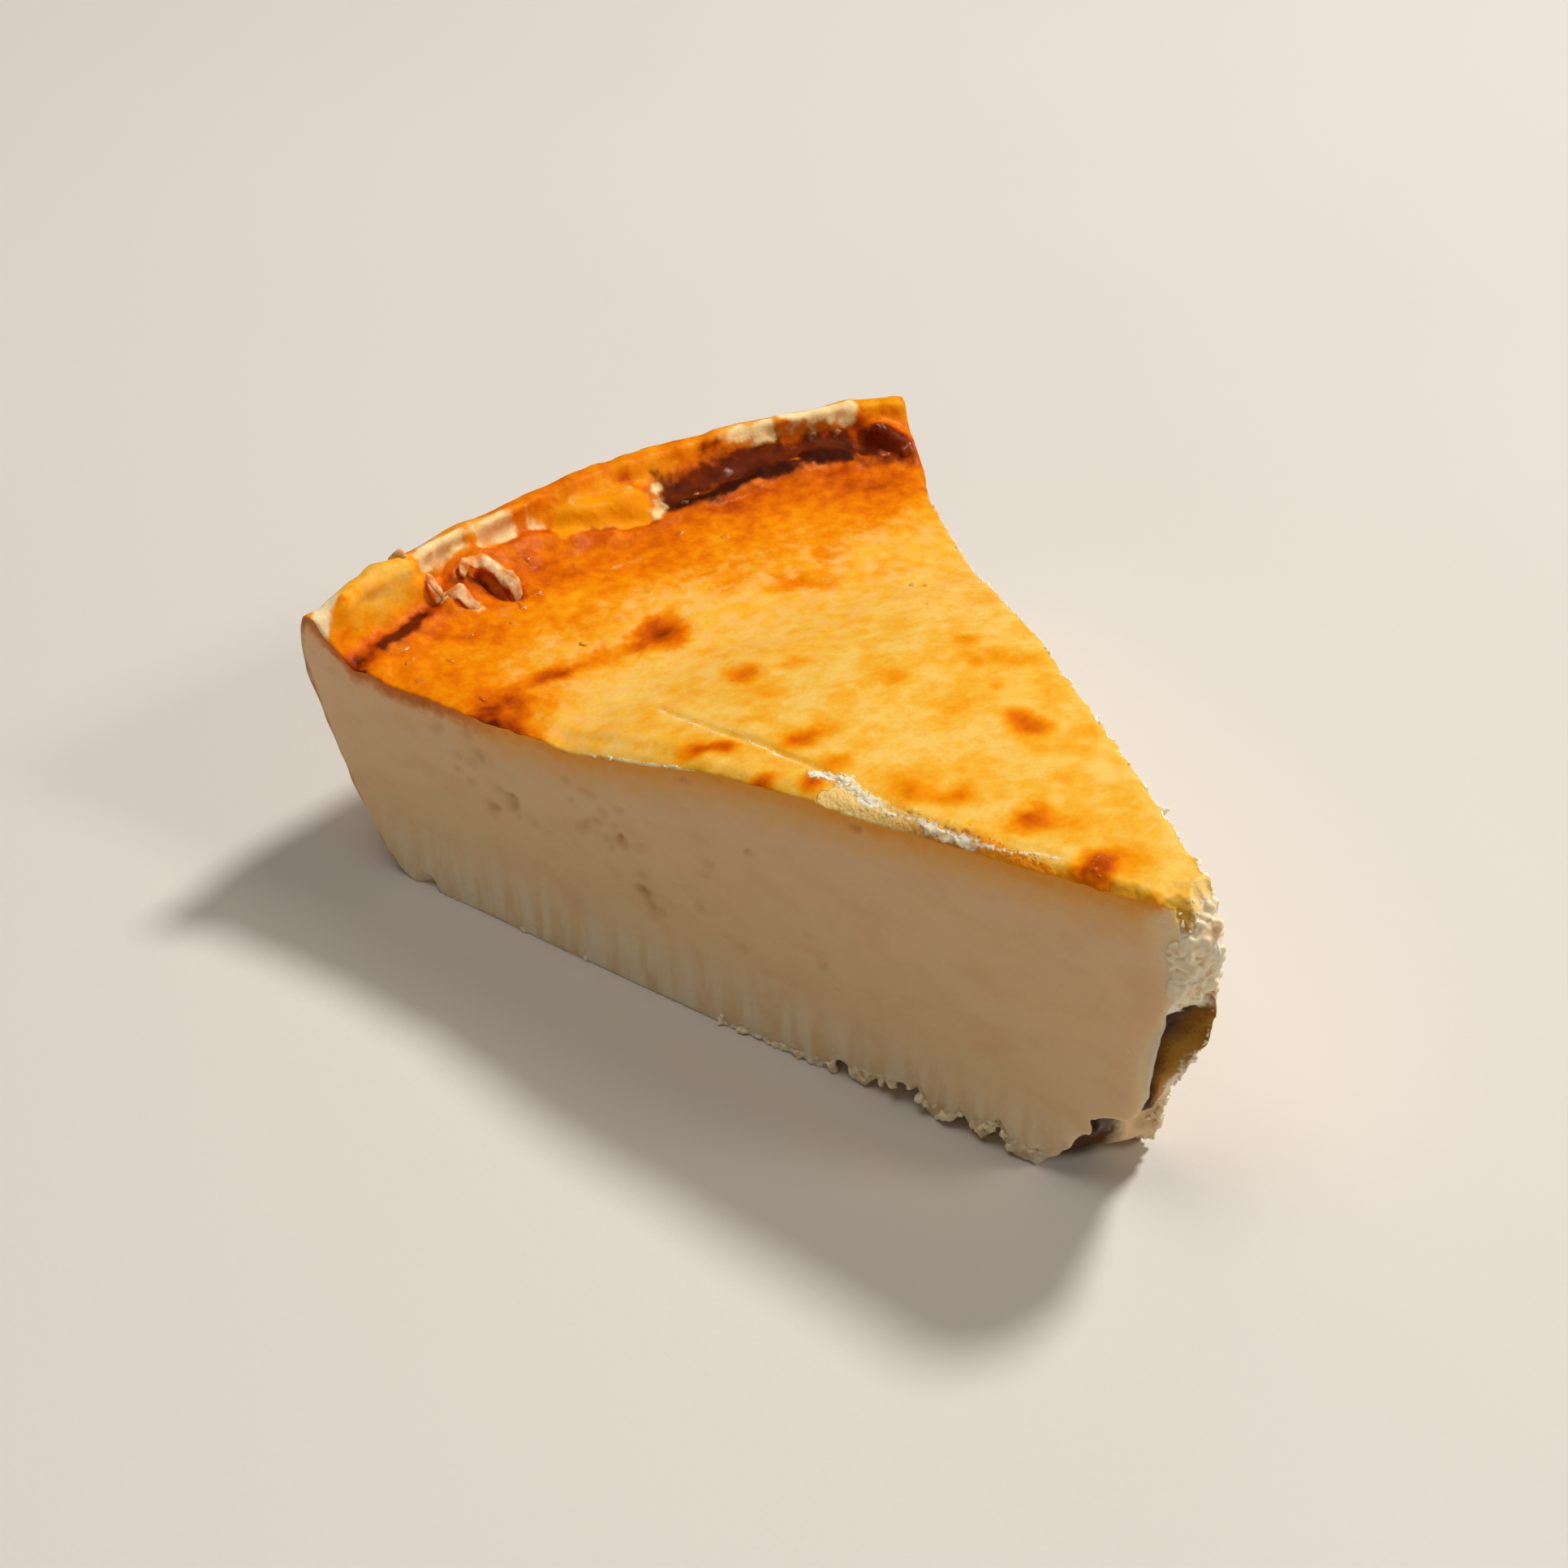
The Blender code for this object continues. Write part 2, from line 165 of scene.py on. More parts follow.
# Uneven surfaces: (height, size of a lump, seed). The solid has the larger lumps too.
TOP_LUMPS = ((0.3, 22, 0), (0.12, 6, 3), (0.05, 2.4, 31), (0.03, 1.2, 37))
RIM_LUMPS = ((0.35, 2.6, 5), (0.12, 4.5, 43), (0.06, 1.3, 41))
FOLD_WANDER = ((0.7, 3.5, 7),)
FACE_WAVES = ((0.12, 9, 11),)
EDGE_CRUMBS = ((0.5, 1.6, 2), (0.3, 0.9, 47), (0.2, 0.55, 53))
TIP_CRUMBS = ((0.75, 2.6, 13), (0.38, 1.2, 17))
WALL_WRINKLES = ((0.35, 5, 19), (0.25, 2.2, 59), (0.5, 9, 61))
WORN_EDGE_WANDER = ((0.5, 3.5, 23),)
EDGE_TEETH = ((2.6, 2.4, 97), (1.8, 1.1, 101))
TEETH_STRETCH = 0.4
TEETH_RISE = 9
DRAG_STREAKS = ((0.26, 1, 67), (0.2, 2.4, 71))
BURNT_BUBBLES = ((0.1, 3, 73),)
PATH_WANDER = ((1.1, 1.7, 83), (0.6, 0.7, 89))
SMOOTH_HOLLOW = {"height": 20.5, "reach": 11, "share": 0.85}

# The browning of the skin: a smooth curve of (distance from the cake's middle, share), then
# spots as (across, out, radius, share) and streaks as (path, half width, share)
BROWNING_CURVE = ((0, 0.04), (12, 0.08), (60, 0.08), (78, 0.12), (86, 0.17), (91, 0.25), (96, 0.37),
                  (100, 0.46), (104, 0.57), (109, 0.6), (112, 0.42), (115, 0.5))
SPOTS = (
    (-7, 70.5, 2.6, 0.42), (-2, 67.7, 1.9, 0.25), (-8, 64.5, 3.2, 0.14), (-20, 60.3, 1.9, 0.5),
    (-17.8, 58.3, 1.7, 0.5), (-11.7, 53.5, 2.3, 0.52), (-8.5, 53.2, 2, 0.25), (-18.5, 50.2, 1.5, 0.5),
    (-15.3, 46.3, 1.5, 0.55), (-11.8, 47.2, 2, 0.3), (3.5, 61.7, 2, 0.12), (3.3, 56.5, 1.9, 0.2),
    (1.5, 58.7, 2.2, 0.1), (-3.7, 57.5, 1.4, 0.15), (-11.5, 61, 2.2, 0.14), (13.7, 58.3, 2, 0.22),
    (14.7, 51.5, 2.8, 0.24), (12, 54, 2.6, 0.14), (4, 47, 3, 0.12), (9.5, 47.6, 0.9, 0.2),
    (16.5, 63, 1.3, 0.13), (24, 66, 2.5, 0.12), (21, 57, 2, 0.12), (13.5, 43.5, 2.8, 0.13),
    (7, 39.4, 2.6, 0.42), (7.3, 42, 2, 0.3), (-9, 38, 3.2, 0.26), (-6.3, 34, 2.2, 0.32),
    (-3.7, 26.3, 2.6, 0.48), (-2.4, 24, 3.4, 0.14), (-3.6, 16.6, 2.4, 0.5), (-4.6, 14.8, 1.6, 0.25),
    (-1, 15, 3.2, 0.2), (5, 35, 1.5, 0.12), (8, 32.5, 2, 0.12), (11.7, 35.5, 1.8, 0.14),
    (4, 29.5, 2.2, 0.12), (9.5, 28.3, 1, 0.15), (-3.3, 37.6, 1, 0.12), (4, 90, 2.5, 0.12),
    (9, 85.5, 2.6, 0.2), (12.5, 83.5, 2.6, 0.26), (17, 88, 2.6, 0.16), (31, 96, 5, 0.16),
    (-24, 98, 3, 0.12), (-8.5, 85.8, 3.2, 0.48), (-6.4, 87.6, 2.8, 0.24), (-8.2, 83, 2.2, 0.16),
)
SPOT_STRENGTH = 1.15
SPOT_REACH = 1.5
SPOT_WANDER = 0.22
BROWN_WANDER = 0.5
BROWN_SOFTNESS = 1.2
STROKE_WANDER = 0.4
STROKE_SOFTNESS = 1.25
BROWN_STREAKS = (
    (((-33, 85.5), (-30, 80.5), (-31.5, 77.5)), 3.8, 0.34),
    (((-29.6, 88), (-28.2, 84), (-31.5, 81), (-30.2, 77.5)), 2.8, 0.2),
    (((-32.6, 84), (-30.4, 78)), 1.2, 0.16),
    (((-33, 84.5), (-23, 87.3), (-21, 86.5)), 1.8, 0.3),
    (((-22, 86.5), (-12, 86)), 2.2, 0.22),
    (((-27, 83), (-25, 82)), 3.2, 0.18),
    (((12, 104.2), (22, 104.3), (32, 102)), 1.5, 0.12),
    (((-17, 110.3), (-10, 111.2), (-5, 109.8), (0, 108), (4, 106.6)), 1.2, 0.25),
    # These three darken the crease under the left mound and the hollows by the curled shreds: browning with
    # painted shade in them
    (((-41, 99.8), (-36, 103), (-31, 104.2), (-26.5, 105.8)), 1.8, 0.32),
    (((-24.5, 107.2), (-22.4, 108.8)), 1.7, 0.3),
    (((-20.2, 108), (-18.8, 105), (-17.2, 102.8)), 1.5, 0.34),
    (((-38.3, 107), (-37, 106.5)), 0.7, 0.3),
    (((8, 109), (14, 109.4), (20, 109.4), (27, 108.6), (33, 106.8), (37.2, 103.2)), 3, 0.36),
    (((35.2, 106), (38.6, 100.6)), 2, 0.22),
    (((4.2, 112.6), (4.6, 112.4)), 1.4, 0.3),
    (((-13.2, 37.8), (-12.4, 35.2)), 0.9, 0.4),
    (((-3.4, 9), (-7.6, 19.6)), 1.5, 0.24),
    (((-18.4, 48), (-22.6, 58)), 1, 0.12),
    (((2.6, 8.2), (3.9, 11.5)), 0.7, 0.35),
    (((-37, 108.2), (-33, 109), (-29.5, 109.6)), 3.6, -0.36),
    (((-36, 98.5), (-31, 98)), 4, -0.1),
    (((-24, 99), (-12, 100)), 4, -0.06),
    (((12, 113.4), (24, 112.4), (36, 109.4), (41, 106.8)), 1.6, -0.12),
)
# Where the skin is torn along the left cut
TORN_PATH = ((-12.6, 45), (-12.4, 42.5), (-12.9, 39.1), (-12.6, 36.5), (-11.6, 34), (-10.8, 30.4),
             (-9.8, 27.4), (-7.9, 23.7), (-5.3, 19.4))
# Streaks of the skin's other looks, as (path, half width, strength)
STREAKS = {
    "burnt": (
        (((8.6, 109.4), (13.2, 109), (19, 109.2), (24, 108.6), (29.6, 107.4), (33, 105.4)), 3, 0.95),
        (((8.6, 107.4), (13.3, 106.6), (18.9, 106.9), (23.7, 106.6), (29.3, 105.6), (31.6, 103.8)), 1.2, 1),
        (((33, 103.6), (35.4, 101.8), (37, 100)), 2.6, 0.4),
        # These darken the crease under the left mound and the hollows by the curled shreds: burnt skin with
        # painted shade in them
        (((-35, 102.6), (-31.4, 103.8), (-28.6, 105)), 1.5, 0.95),
        (((-39.8, 99.5), (-39, 99.8)), 0.8, 1),
        (((-20, 107.6), (-19.2, 106.6)), 1.2, 0.8),
        (((-22.8, 108.2), (-22.2, 107.2)), 0.9, 0.5),
        (((-24.6, 110.2), (-24, 109.8)), 0.9, 0.45),
    ),
    # The darkest of what is burnt, along the crease at the band's inner edge: charred skin and painted shade
    # in the crease
    "charred": (
        (((8.4, 107.6), (13.3, 106.8)), 1.9, 1),
        (((13.3, 106.8), (18.9, 107.1), (23.7, 106.8)), 1.5, 0.85),
        (((27, 106.6), (29.6, 105.8), (31.6, 104.2)), 1.6, 1),
    ),
    # Yellow translucent skin: the flap and the bulge beside the left corner
    "yellow": (
        (((-6, 110.4), (0, 109.8), (3.6, 108.6)), 2.7, 1),
        (((-37.4, 107.6), (-31, 109.2)), 3, 0.42),
    ),
    # The yellow dent at the tip, coloured dark olive as painted shade in it
    "dent": (
        (((-2.8, 8), (-1, 8.4)), 1.2, 1),
    ),
    # Skin that has lifted and dried
    "pale": (
        (((-25.4, 110.9), (-22.6, 111.2), (-20, 111.3)), 1.25, 0.95),
        (((-17.6, 111.6), (-14, 111.9), (-12.4, 111.9)), 1.15, 0.9),
        (((-9.8, 112), (-8.2, 112)), 0.8, 0.8),
        (((-3.6, 112.4), (-3.4, 110.6)), 0.55, 0.6),
        (((1.4, 111.6), (3.4, 111.1)), 0.7, 0.6),
        (((7.4, 110.6), (6.4, 109.2), (5.2, 107)), 1.1, 0.9),
        (((18.8, 112), (21, 111.8), (24.4, 111)), 1.2, 1),
        (((26.4, 110.9), (30, 110.1), (33, 109.1), (35.3, 108.4)), 1.35, 1),
        (((-25.6, 108.3), (-25.3, 106.2)), 0.5, 0.7),
        (((-24.8, 105.6), (-23.3, 104.5), (-22.2, 102.8)), 1, 0.95),
        (((-21.4, 100.5), (-18.2, 101.2)), 1.3, 0.3),
        (((-5, 101.6), (-0.4, 101.1)), 0.9, 0.4),
    ),
    # Broken cream that shows white
    "white": (
        (((-17.8, 71), (-16.8, 62), (-15.4, 58), (-14.4, 50), (-13.6, 46)), 0.3, 0.7),
        (((-14.2, 47.2), (-13, 44), (-13.1, 39.6)), 1.1, 1),
        (((-11.4, 33.8), (-10.8, 30.4), (-9.8, 27.4)), 0.7, 0.9),
        (TORN_PATH, 0.4, 0.6),
    ),
    # Smooth cream at the left corner
    "corner": (
        (((-41.8, 105), (-39.8, 106.4), (-38, 109)), 1.8, 1),
    ),
}
# How wide the strip along a cut edge is that has lost its skin: (distance from the cake's middle,
# width). On the left its colour changes along the edge; on the right it is white.
EDGE_BARE = {
    LEFT: ((0, 0), (17, 0), (22, 1.3), (24, 1.6), (28.4, 1.6), (32.6, 1.8), (36.8, 2.1), (41.9, 2.9),
           (46, 3.5), (47.5, 0), (115, 0)),
    RIGHT: ((5, 1), (15, 0.7), (30, 0.55), (60, 0.6), (90, 0.5), (97, 0.3), (100, 0), (115, 0)),
}
PALE_EDGE = ((0, 0), (60.5, 0), (63, 0.5), (70, 0.75), (77, 0.6), (79, 0), (115, 0))
LEAST_BARE = 0.3
BARE_WANDER = 0.35
BARE_SOFTNESS = 0.8
LINING_START = 18.0
LINING_END = 48.0
FACE_SPECKS = ((63, 33), (42, 36), (79, 30), (55, 27))
SPECK_SHARE = 0.8
SPECK_REACH = 0.7
PIT_SHADE_SHARE = 0.3
# Broken cream that runs onto the left face beside the tip: (height, width)
BROKEN_WIDTH = ((0, 2), (4, 1.6), (8, 0.7), (27, 0.9), (31, 2.6), (36, 6), (40, 6), (42, 0))
LEAST_BROKEN = 1.8
CRUST_THICKNESS = 0.8

# Groups of crumbs and flakes are given as (path of (across, out, height), spread, how many, smallest
# and largest radius). Each is set onto the nearest surface, and crumbs that touch melt together.
FLAKE_GROUPS = (
    (((-13, 43, 37.2), (-10.8, 34, 38.6), (-9, 28, 39.2)), 0.5, 26, (0.25, 0.7)),
)
CRUMB_SEED = 11
CRUMB_SINK = 0.6
CRUMB_STRETCH = (0.6, 1.3)
CRUMB_LUMPS = ((1, 1, 113),)
LUMP_OFFSET = 50.0
TORN_CRUMB_SHIFT = (-0.15, -0.1, -0.4)
MELT_CELL = 0.12
MELT_ROUNDS = 3
MELT_FACTOR = 0.5
BALL_CUTS = 3
FLAKE_FLATNESS = 0.35
BLISTER_FLATNESS = 0.45
BLISTER_SPREAD = 1.25
WET_REACH = 2.0

# Shreds of skin that have lifted off the rim: stations of (across, out, lift, half width)
SHREDS = (
    ((-21.6, 107.6, 0, 0.35), (-21, 108.2, 0.3, 0.65), (-19.9, 108.6, 0.5, 0.8),
     (-18.8, 108.4, 0.6, 0.85), (-17.8, 107.4, 0.6, 0.9), (-17.1, 105.8, 0.5, 0.95),
     (-16.9, 104.2, 0.35, 0.95), (-16.7, 102.7, 0, 0.5)),
    ((-25.7, 108.6, 0, 0.3), (-25.6, 107.8, 0.25, 0.5), (-25.4, 106.8, 0.25, 0.5), (-25.2, 106, 0, 0.3)),
    ((-25.2, 106, 0, 0.5), (-24.3, 105.2, 0.15, 0.85), (-23.2, 104.3, 0.15, 0.95), (-22.3, 102.8, 0, 0.5)),
    ((-28.9, 111.6, 0, 0.3), (-28.5, 111.2, 0.12, 0.5), (-28, 110.6, 0.12, 0.5), (-27.6, 109.8, 0, 0.3)),
)
SHRED_STATIONS = 26
SHRED_SIDES = 12
SHRED_THICKNESS = 0.3
SHRED_TILT = 0.5
SHRED_WANDER = ((0.5, 0.9, 109),)

# The lattice: cells along a radius, across the wedge and up, and how they crowd to its ends
CELLS = (236, 128, 88)
CROWDING = (0.5, 0.3, 0.4)
CREAM, SKIN, WALL, UNDERSIDE, TIP = range(5)
FLAT_WITHIN = 1e-6

# Where looks change: (where one starts, where it is full). By the distance from the cake's middle:
RIM_LOOK = (84, 106)
CUT_RIM = (84, 100)
BLOOM_RISE = (62, 82)
BLOOM_FALL = (100, 92)
# By the height, or by the depth below the top:
HIGH_CREAM = (4, 34)
FRINGE = (13, 0.5)
SKIN_GLOW = (6.5, 0.3)
CUT_SKIN = (2.2, -0.1)
CUT_RIM_SKIN = (2.2, 0.4)
WALL_BROWNING = (9, 0)
BROKEN_CREAM = (6, 14)
AMBER_FOOT = (7, 10)
AMBER_TOP = (30.2, 28.4)
AMBER_TILT = 0.6
TIP_SKIN = (2.4, 0.8)
DENT_DEPTH = (3.4, 2)
# At the tip, by how far to the right of its middle:
LIT_FOOT = (-1.6, 1.4)
AMBER_SHADE_TO_GLOW = (-2, 2.4)
AMBER_RIGHT = (2.9, 2.3)
DENT_LEFT = (-2.6, -1.6)
DENT_RIGHT = (0.3, -0.8)

# The values that most of a noise texture lies between, and the sockets of a node that mixes colours
NOISE_SPAN = (0.3, 0.7)
MIX_SHARE, MIX_FIRST, MIX_SECOND, MIX_RESULT = 0, 6, 7, 2

# Colours as a screen shows them
BROWNING_COLOURS = ((0.0, (254, 206, 102)), (0.14, (253, 186, 56)), (0.3, (250, 160, 18)),
                    (0.42, (243, 140, 4)), (0.5, (236, 124, 1)), (0.62, (218, 102, 1)),
                    (0.76, (190, 78, 2)), (1.0, (112, 32, 1)))
BLOOM_COLOUR = (255, 194, 108)
BURNT_COLOURS = ((0.3, (116, 40, 2)), (0.7, (70, 20, 1)))
CHARRED_AND_SHADE_COLOUR = (44, 9, 1)
YELLOW_COLOUR = (250, 156, 6)
DENT_SHADE_COLOUR = (180, 132, 24)
PALE_COLOURS = ((0.15, (250, 176, 62)), (0.8, (255, 229, 170)))
CORNER_COLOUR = (250, 226, 176)
LIFTED_COLOURS = ((0.35, (254, 224, 176)), (0.6, (232, 150, 74)))
BROKEN_CREAM_COLOUR = (254, 245, 224)
# The cut faces' cream is warmer and darker than the broken cream: its own tone, with painted warm shade in
# it
LOW_CREAM_COLOUR = (240, 209, 160)
HIGH_CREAM_COLOUR = (243, 201, 154)
# What lines the torn strip, from the tip outwards: a painted orange glow, a darker amber band of painted
# shade, then pale cream
LINING_GLOW_AND_SHADE_COLOURS = ((0.0, (254, 154, 18)), (0.3, (254, 160, 34)), (0.46, (206, 136, 58)),
                  (0.62, (240, 190, 106)), (0.75, (254, 216, 140)), (1.0, (254, 212, 128)))
CLOUD_COLOUR = (228, 178, 124)
CUT_SKIN_COLOUR = (250, 166, 44)
PAINTED_GLOW_COLOUR = (248, 182, 88)
RIM_CUT_COLOUR = (206, 108, 20)
# The tip's hollow: amber cream, darkest to the left as painted shade, golden to the right as a painted glow
# through the thin flake
AMBER_SHADE_AND_GLOW_COLOURS = ((0.0, (46, 25, 1)), (0.45, (80, 46, 3)), (0.8, (140, 90, 16)), (1.0, (190, 136, 44)))
FRINGE_AND_LIGHT_COLOUR = (255, 240, 210)
FOOT_SHADE_COLOUR = (78, 46, 10)
CRUMB_COLOUR = (255, 235, 203)
TIP_SKIN_COLOUR = (255, 216, 128)
TIP_EDGE_COLOUR = (255, 229, 182)
CREVICE_COLOUR = (240, 190, 122)
CRUST_COLOUR = (178, 112, 46)
SPECK_AND_PIT_SHADE_COLOUR = (188, 128, 66)
WARM_SHEEN = (1.0, 0.74, 0.54, 1.0)
WALL_COLOURS = ((0.0, (238, 196, 120)), (0.4, (222, 160, 78)), (0.7, (190, 116, 42)), (1.0, (132, 66, 22)))
UNDERSIDE_COLOURS = ((0.0, (238, 212, 160)), (1.0, (214, 168, 98)))
FLOOR_COLOUR = (226, 223, 218)

# The camera: where it looks, from where in degrees, and its lens
CAMERA_AIM = (-9.18, -0.17, 25.3)
CAMERA_AZIMUTH = -34.94
CAMERA_ELEVATION = 39.04
CAMERA_DISTANCE = 264.29
CAMERA_ROLL = -0.549
LENS = 55.9
SENSOR = 36.0
NEAREST_SEEN = 10.0

# The studio: its lights as (name, azimuth, elevation, width, power, colour), its world and its floor
LIGHT_AIM = (0.0, 0.0, 20.0)
LIGHT_DISTANCE = 1500.0
LIGHTS = (
    ("key", 93, 56, 260, 16.8, (1.0, 0.965, 0.92)),
    ("fill", -60, 40, 1000, 0.6, (1.0, 0.8, 0.6)),
    ("front", 38, 38, 300, 4.4, (1.0, 0.92, 0.8)),
    ("overhead", -110, 76, 700, 4.5, (1.0, 0.95, 0.88)),
)
WORLD_COLOUR = (1.0, 0.89, 0.76, 1.0)
WORLD_STRENGTH = 0.078
FLOOR_REACH = 3000.0
FLOOR_DROP = 0.1


def smooth_step(value):
    value = np.clip(value, 0.0, 1.0)
    return value * value * (3.0 - 2.0 * value)


def mix(start, end, share):
    return start + (end - start) * share


def bump(distance, reach):
    """1 at no distance, easing to 0 at reach."""
    return 1.0 - smooth_step(np.abs(distance) / reach)


def straight_curve(points, at):
    return np.interp(at, *zip(*points))


def smooth_curve(points, at):
    """The height of a smooth curve through points, level with its ends beyond them."""
    x, y = (np.array(values, float) for values in zip(*points))
    at = np.clip(at, x[0], x[-1])
    before = np.maximum(np.arange(len(x)) - 1, 0)
    after = np.minimum(np.arange(len(x)) + 1, len(x) - 1)
    slope = (y[after] - y[before]) / (x[after] - x[before])
    span = np.clip(np.searchsorted(x, at, side="right") - 1, 0, len(x) - 2)
    width = x[span + 1] - x[span]
    t = (at - x[span]) / width
    return (y[span] * (1 + 2 * t) * (1 - t) ** 2 + slope[span] * width * t * (1 - t) ** 2
            + y[span + 1] * t * t * (3 - 2 * t) + slope[span + 1] * width * t * t * (t - 1))


def distance_to_spot(plan, *spot):
    return np.hypot(*(plan - spot).T)


def distance_to_path(plan, path, wander):
    """How far places are from a path that wanders."""
    nearest = np.full(len(plan), np.inf)
    for start, end in zip(path, path[1:]):
        start, run = np.array(start, float), np.array(end, float) - start
        share = np.clip((plan - start) @ run / (run @ run), 0.0, 1.0)
        nearest = np.minimum(nearest, np.linalg.norm(plan - start - share[:, None] * run, axis=1))
    return np.maximum(nearest + wander, 0.0)


def lumps(layers, *place):
    """The height of smooth noise at places given by two or three coordinates."""
    place = np.stack(np.broadcast_arrays(*place, *(0.0,) * (3 - len(place))), axis=1)
    total = np.zeros(len(place))
    for height, size, seed in layers:
        points = place / size + (seed, -seed, 0.5 * seed)
        total += height * np.array([noise.noise(point) for point in points.tolist()])
    return total


def strokes(plan, wander, paths):
    """The strongest of several strokes at each place, with uneven edges."""
    strongest = np.zeros(len(plan))
    for path, half_width, share in paths:
        distance = distance_to_path(plan, path, wander * half_width * STROKE_WANDER)
        strongest = np.maximum(strongest, share * bump(distance, half_width * STROKE_SOFTNESS))
    return strongest


def skin_relief(plan):
    """How far the browned skin stands above the smooth top."""
    across, out = plan.T
    height = lumps(TOP_LUMPS, across, out)
    wander = lumps(FOLD_WANDER, across, out)
    for path, half_width, rise in FOLDS:
        height += rise * bump(distance_to_path(plan, path, wander), half_width)
    for *spot, radius, rise in SWELLINGS:
        height += rise * bump(distance_to_spot(plan, *spot), radius)
    height += strokes(plan, wander, STREAKS["burnt"]) * lumps(BURNT_BUBBLES, across, out)
    rim = smooth_step((np.hypot(across, out) - RIM_START) / RIM_SWELL_BAND)
    return height + rim * lumps(RIM_LUMPS, across, out)


def top_height(plan):
    return smooth_curve(TOP_CURVE, np.hypot(*plan.T)) + skin_relief(plan)


def tip_radius(height, side_share):
    """Where the broken tip starts, side_share going from 0 at the left face to 1 at the right."""
    radius = mix(smooth_curve(TIP_CURVES[LEFT], height), smooth_curve(TIP_CURVES[RIGHT], height), side_share)
    for dent in (TIP_HOLLOW, TIP_BROW):
        middle = np.sin(math.pi * side_share ** dent["lean"])
        radius = radius + dent["depth"] * middle * bump(height - dent["height"], dent["reach"])
    return radius


def scattered_pits(side):
    """Small pits of a cut face, as (radius, height, reach, depth)."""
    draw = np.random.default_rng(PIT_SEED + int(side))
    pits = []
    for start_radius, start_height, end_radius, end_height, spread, count in PIT_CLUSTERS[side]:
        share = draw.uniform(0.0, 1.0, count)
        radius = mix(start_radius, end_radius, share) + draw.normal(0.0, spread, count)
        height = mix(start_height, end_height, share) + draw.normal(0.0, spread, count)
        pits += zip(radius, height, draw.uniform(*PIT_REACH, count), draw.uniform(*PIT_DEPTH, count))
    return pits


def pitting(pits, radius, height):
    total = np.zeros(len(radius))
    for pit_radius, pit_height, reach, depth in pits:
        total += depth * bump(np.hypot(radius - pit_radius, height - pit_height), reach)
    return total


def face_inset(side, radius, height, top):
    """How far a cut face lies inside its plane: pits, drag waves and ragged edges."""
    inset = FACE_INSET + lumps(FACE_WAVES, radius, height, side)
    inset += pitting([*FACE_PITS[side], *scattered_pits(side)], radius, height)
    ragged = RAGGED_MEAN + lumps(EDGE_CRUMBS, radius, height, side * radius)
    rim = smooth_step((radius - RIM_START) / RIM_SWELL_BAND)
    inset += RAGGED_TOP[side] * ragged * (1.0 - rim) * bump(top - height, RAGGED_TOP_BAND)
    inset -= RIM_SWELL[side] * rim * bump(top - height, RIM_SWELL_BAND)
    crumbling = bump(height, RAGGED_BOTTOM_BAND) * smooth_step((RAGGED_BOTTOM_END - radius) / WALL_REACH)
    dragged = bump(height, DRAGGED["height"]) * bump(radius - DRAGGED["radius"], DRAGGED["reach"])
    inset += dragged * lumps(DRAG_STREAKS, radius, height * DRAGGED["stretch"], side)
    return inset + RAGGED_BOTTOM * ragged * crumbling


def plan_of(radius, angle):
    return np.stack((radius * np.sin(angle), radius * np.cos(angle)), axis=1)


def rolled_top(radius, angle):
    """How high the top is, with its relief, where it rolls down at both cut edges."""
    top = smooth_curve(TOP_CURVE, radius) + skin_relief(plan_of(radius, angle))
    for side in (LEFT, RIGHT):
        from_face = radius * (HALF_ANGLE - side * angle) / straight_curve(EDGE_ROLL_BAND[side], radius)
        top -= straight_curve(EDGE_ROLL[side], radius) * (1.0 - np.clip(from_face, 0.0, 1.0)) ** 2
    return top


def broken_radius(radius, start, side_share, across, height):
    """Moves the ends of the lattice to the crumbling tip and to the wrinkled wall."""
    crumbs = lumps(TIP_CRUMBS, across, radius, height)
    crumbs *= 1.0 - SMOOTH_HOLLOW["share"] * bump(height - SMOOTH_HOLLOW["height"], SMOOTH_HOLLOW["reach"])
    crumbs *= bump(radius - start, TIP_CRUMB_REACH)
    to_tip = (tip_radius(height, side_share) - start + crumbs) * bump(radius - start, TIP_REACH)
    to_wall = smooth_curve(WALL_CURVE, height) - CAKE_RADIUS + lumps(WALL_WRINKLES, across, 0.0, height)
    return radius + to_tip + to_wall * bump(CAKE_RADIUS - radius, WALL_REACH)


def angle_between_faces(radius, height, top, side_share):
    """The direction of each place, between two cut faces of which the left one is rounded at the brow."""
    left_inset, right_inset = (face_inset(side, radius, height, top) for side in (LEFT, RIGHT))
    rounding = 1.0 - np.clip((radius - tip_radius(height, side_share)) / BROW_ROUNDING["band"], 0.0, 1.0)
    rounding *= rounding * bump(height - BROW_ROUNDING["height"], BROW_ROUNDING["reach"])
    left_inset += BROW_ROUNDING["depth"] * rounding
    return mix(left_inset / radius - HALF_ANGLE, HALF_ANGLE - right_inset / radius, side_share)


def worn_height(radius, from_left_face, top, up):
    """The height of each place, where the lower left edge is worn away in teeth."""
    worn = straight_curve(WORN_LEFT_EDGE, radius)
    near = bump(from_left_face, WORN_EDGE_DEPTH * (1.0 + lumps(WORN_EDGE_WANDER, radius, from_left_face)))
    teeth = lumps(EDGE_TEETH, radius, from_left_face * TEETH_STRETCH) * smooth_step(worn / TEETH_START)
    floor = np.maximum(worn * near, 0.0)
    return np.maximum(floor + up * (top - floor) + teeth * near * (1.0 - up) ** TEETH_RISE, 0.0)


def shaped_places(along, side_share, up):
    """Where points of the lattice go, and how far below the top each of them is."""
    start = tip_radius(TOP_CURVE[0][1], side_share)
    radius = mix(start, CAKE_RADIUS, along)
    angle = mix(-HALF_ANGLE, HALF_ANGLE, side_share)
    top = rolled_top(radius, angle)
    radius = broken_radius(radius, start, side_share, radius * angle, up * top)
    angle = angle_between_faces(radius, up * top, top, side_share)
    height = worn_height(radius, radius * (angle + HALF_ANGLE), top, up)
    return np.column_stack((plan_of(radius, angle), height)), top - height


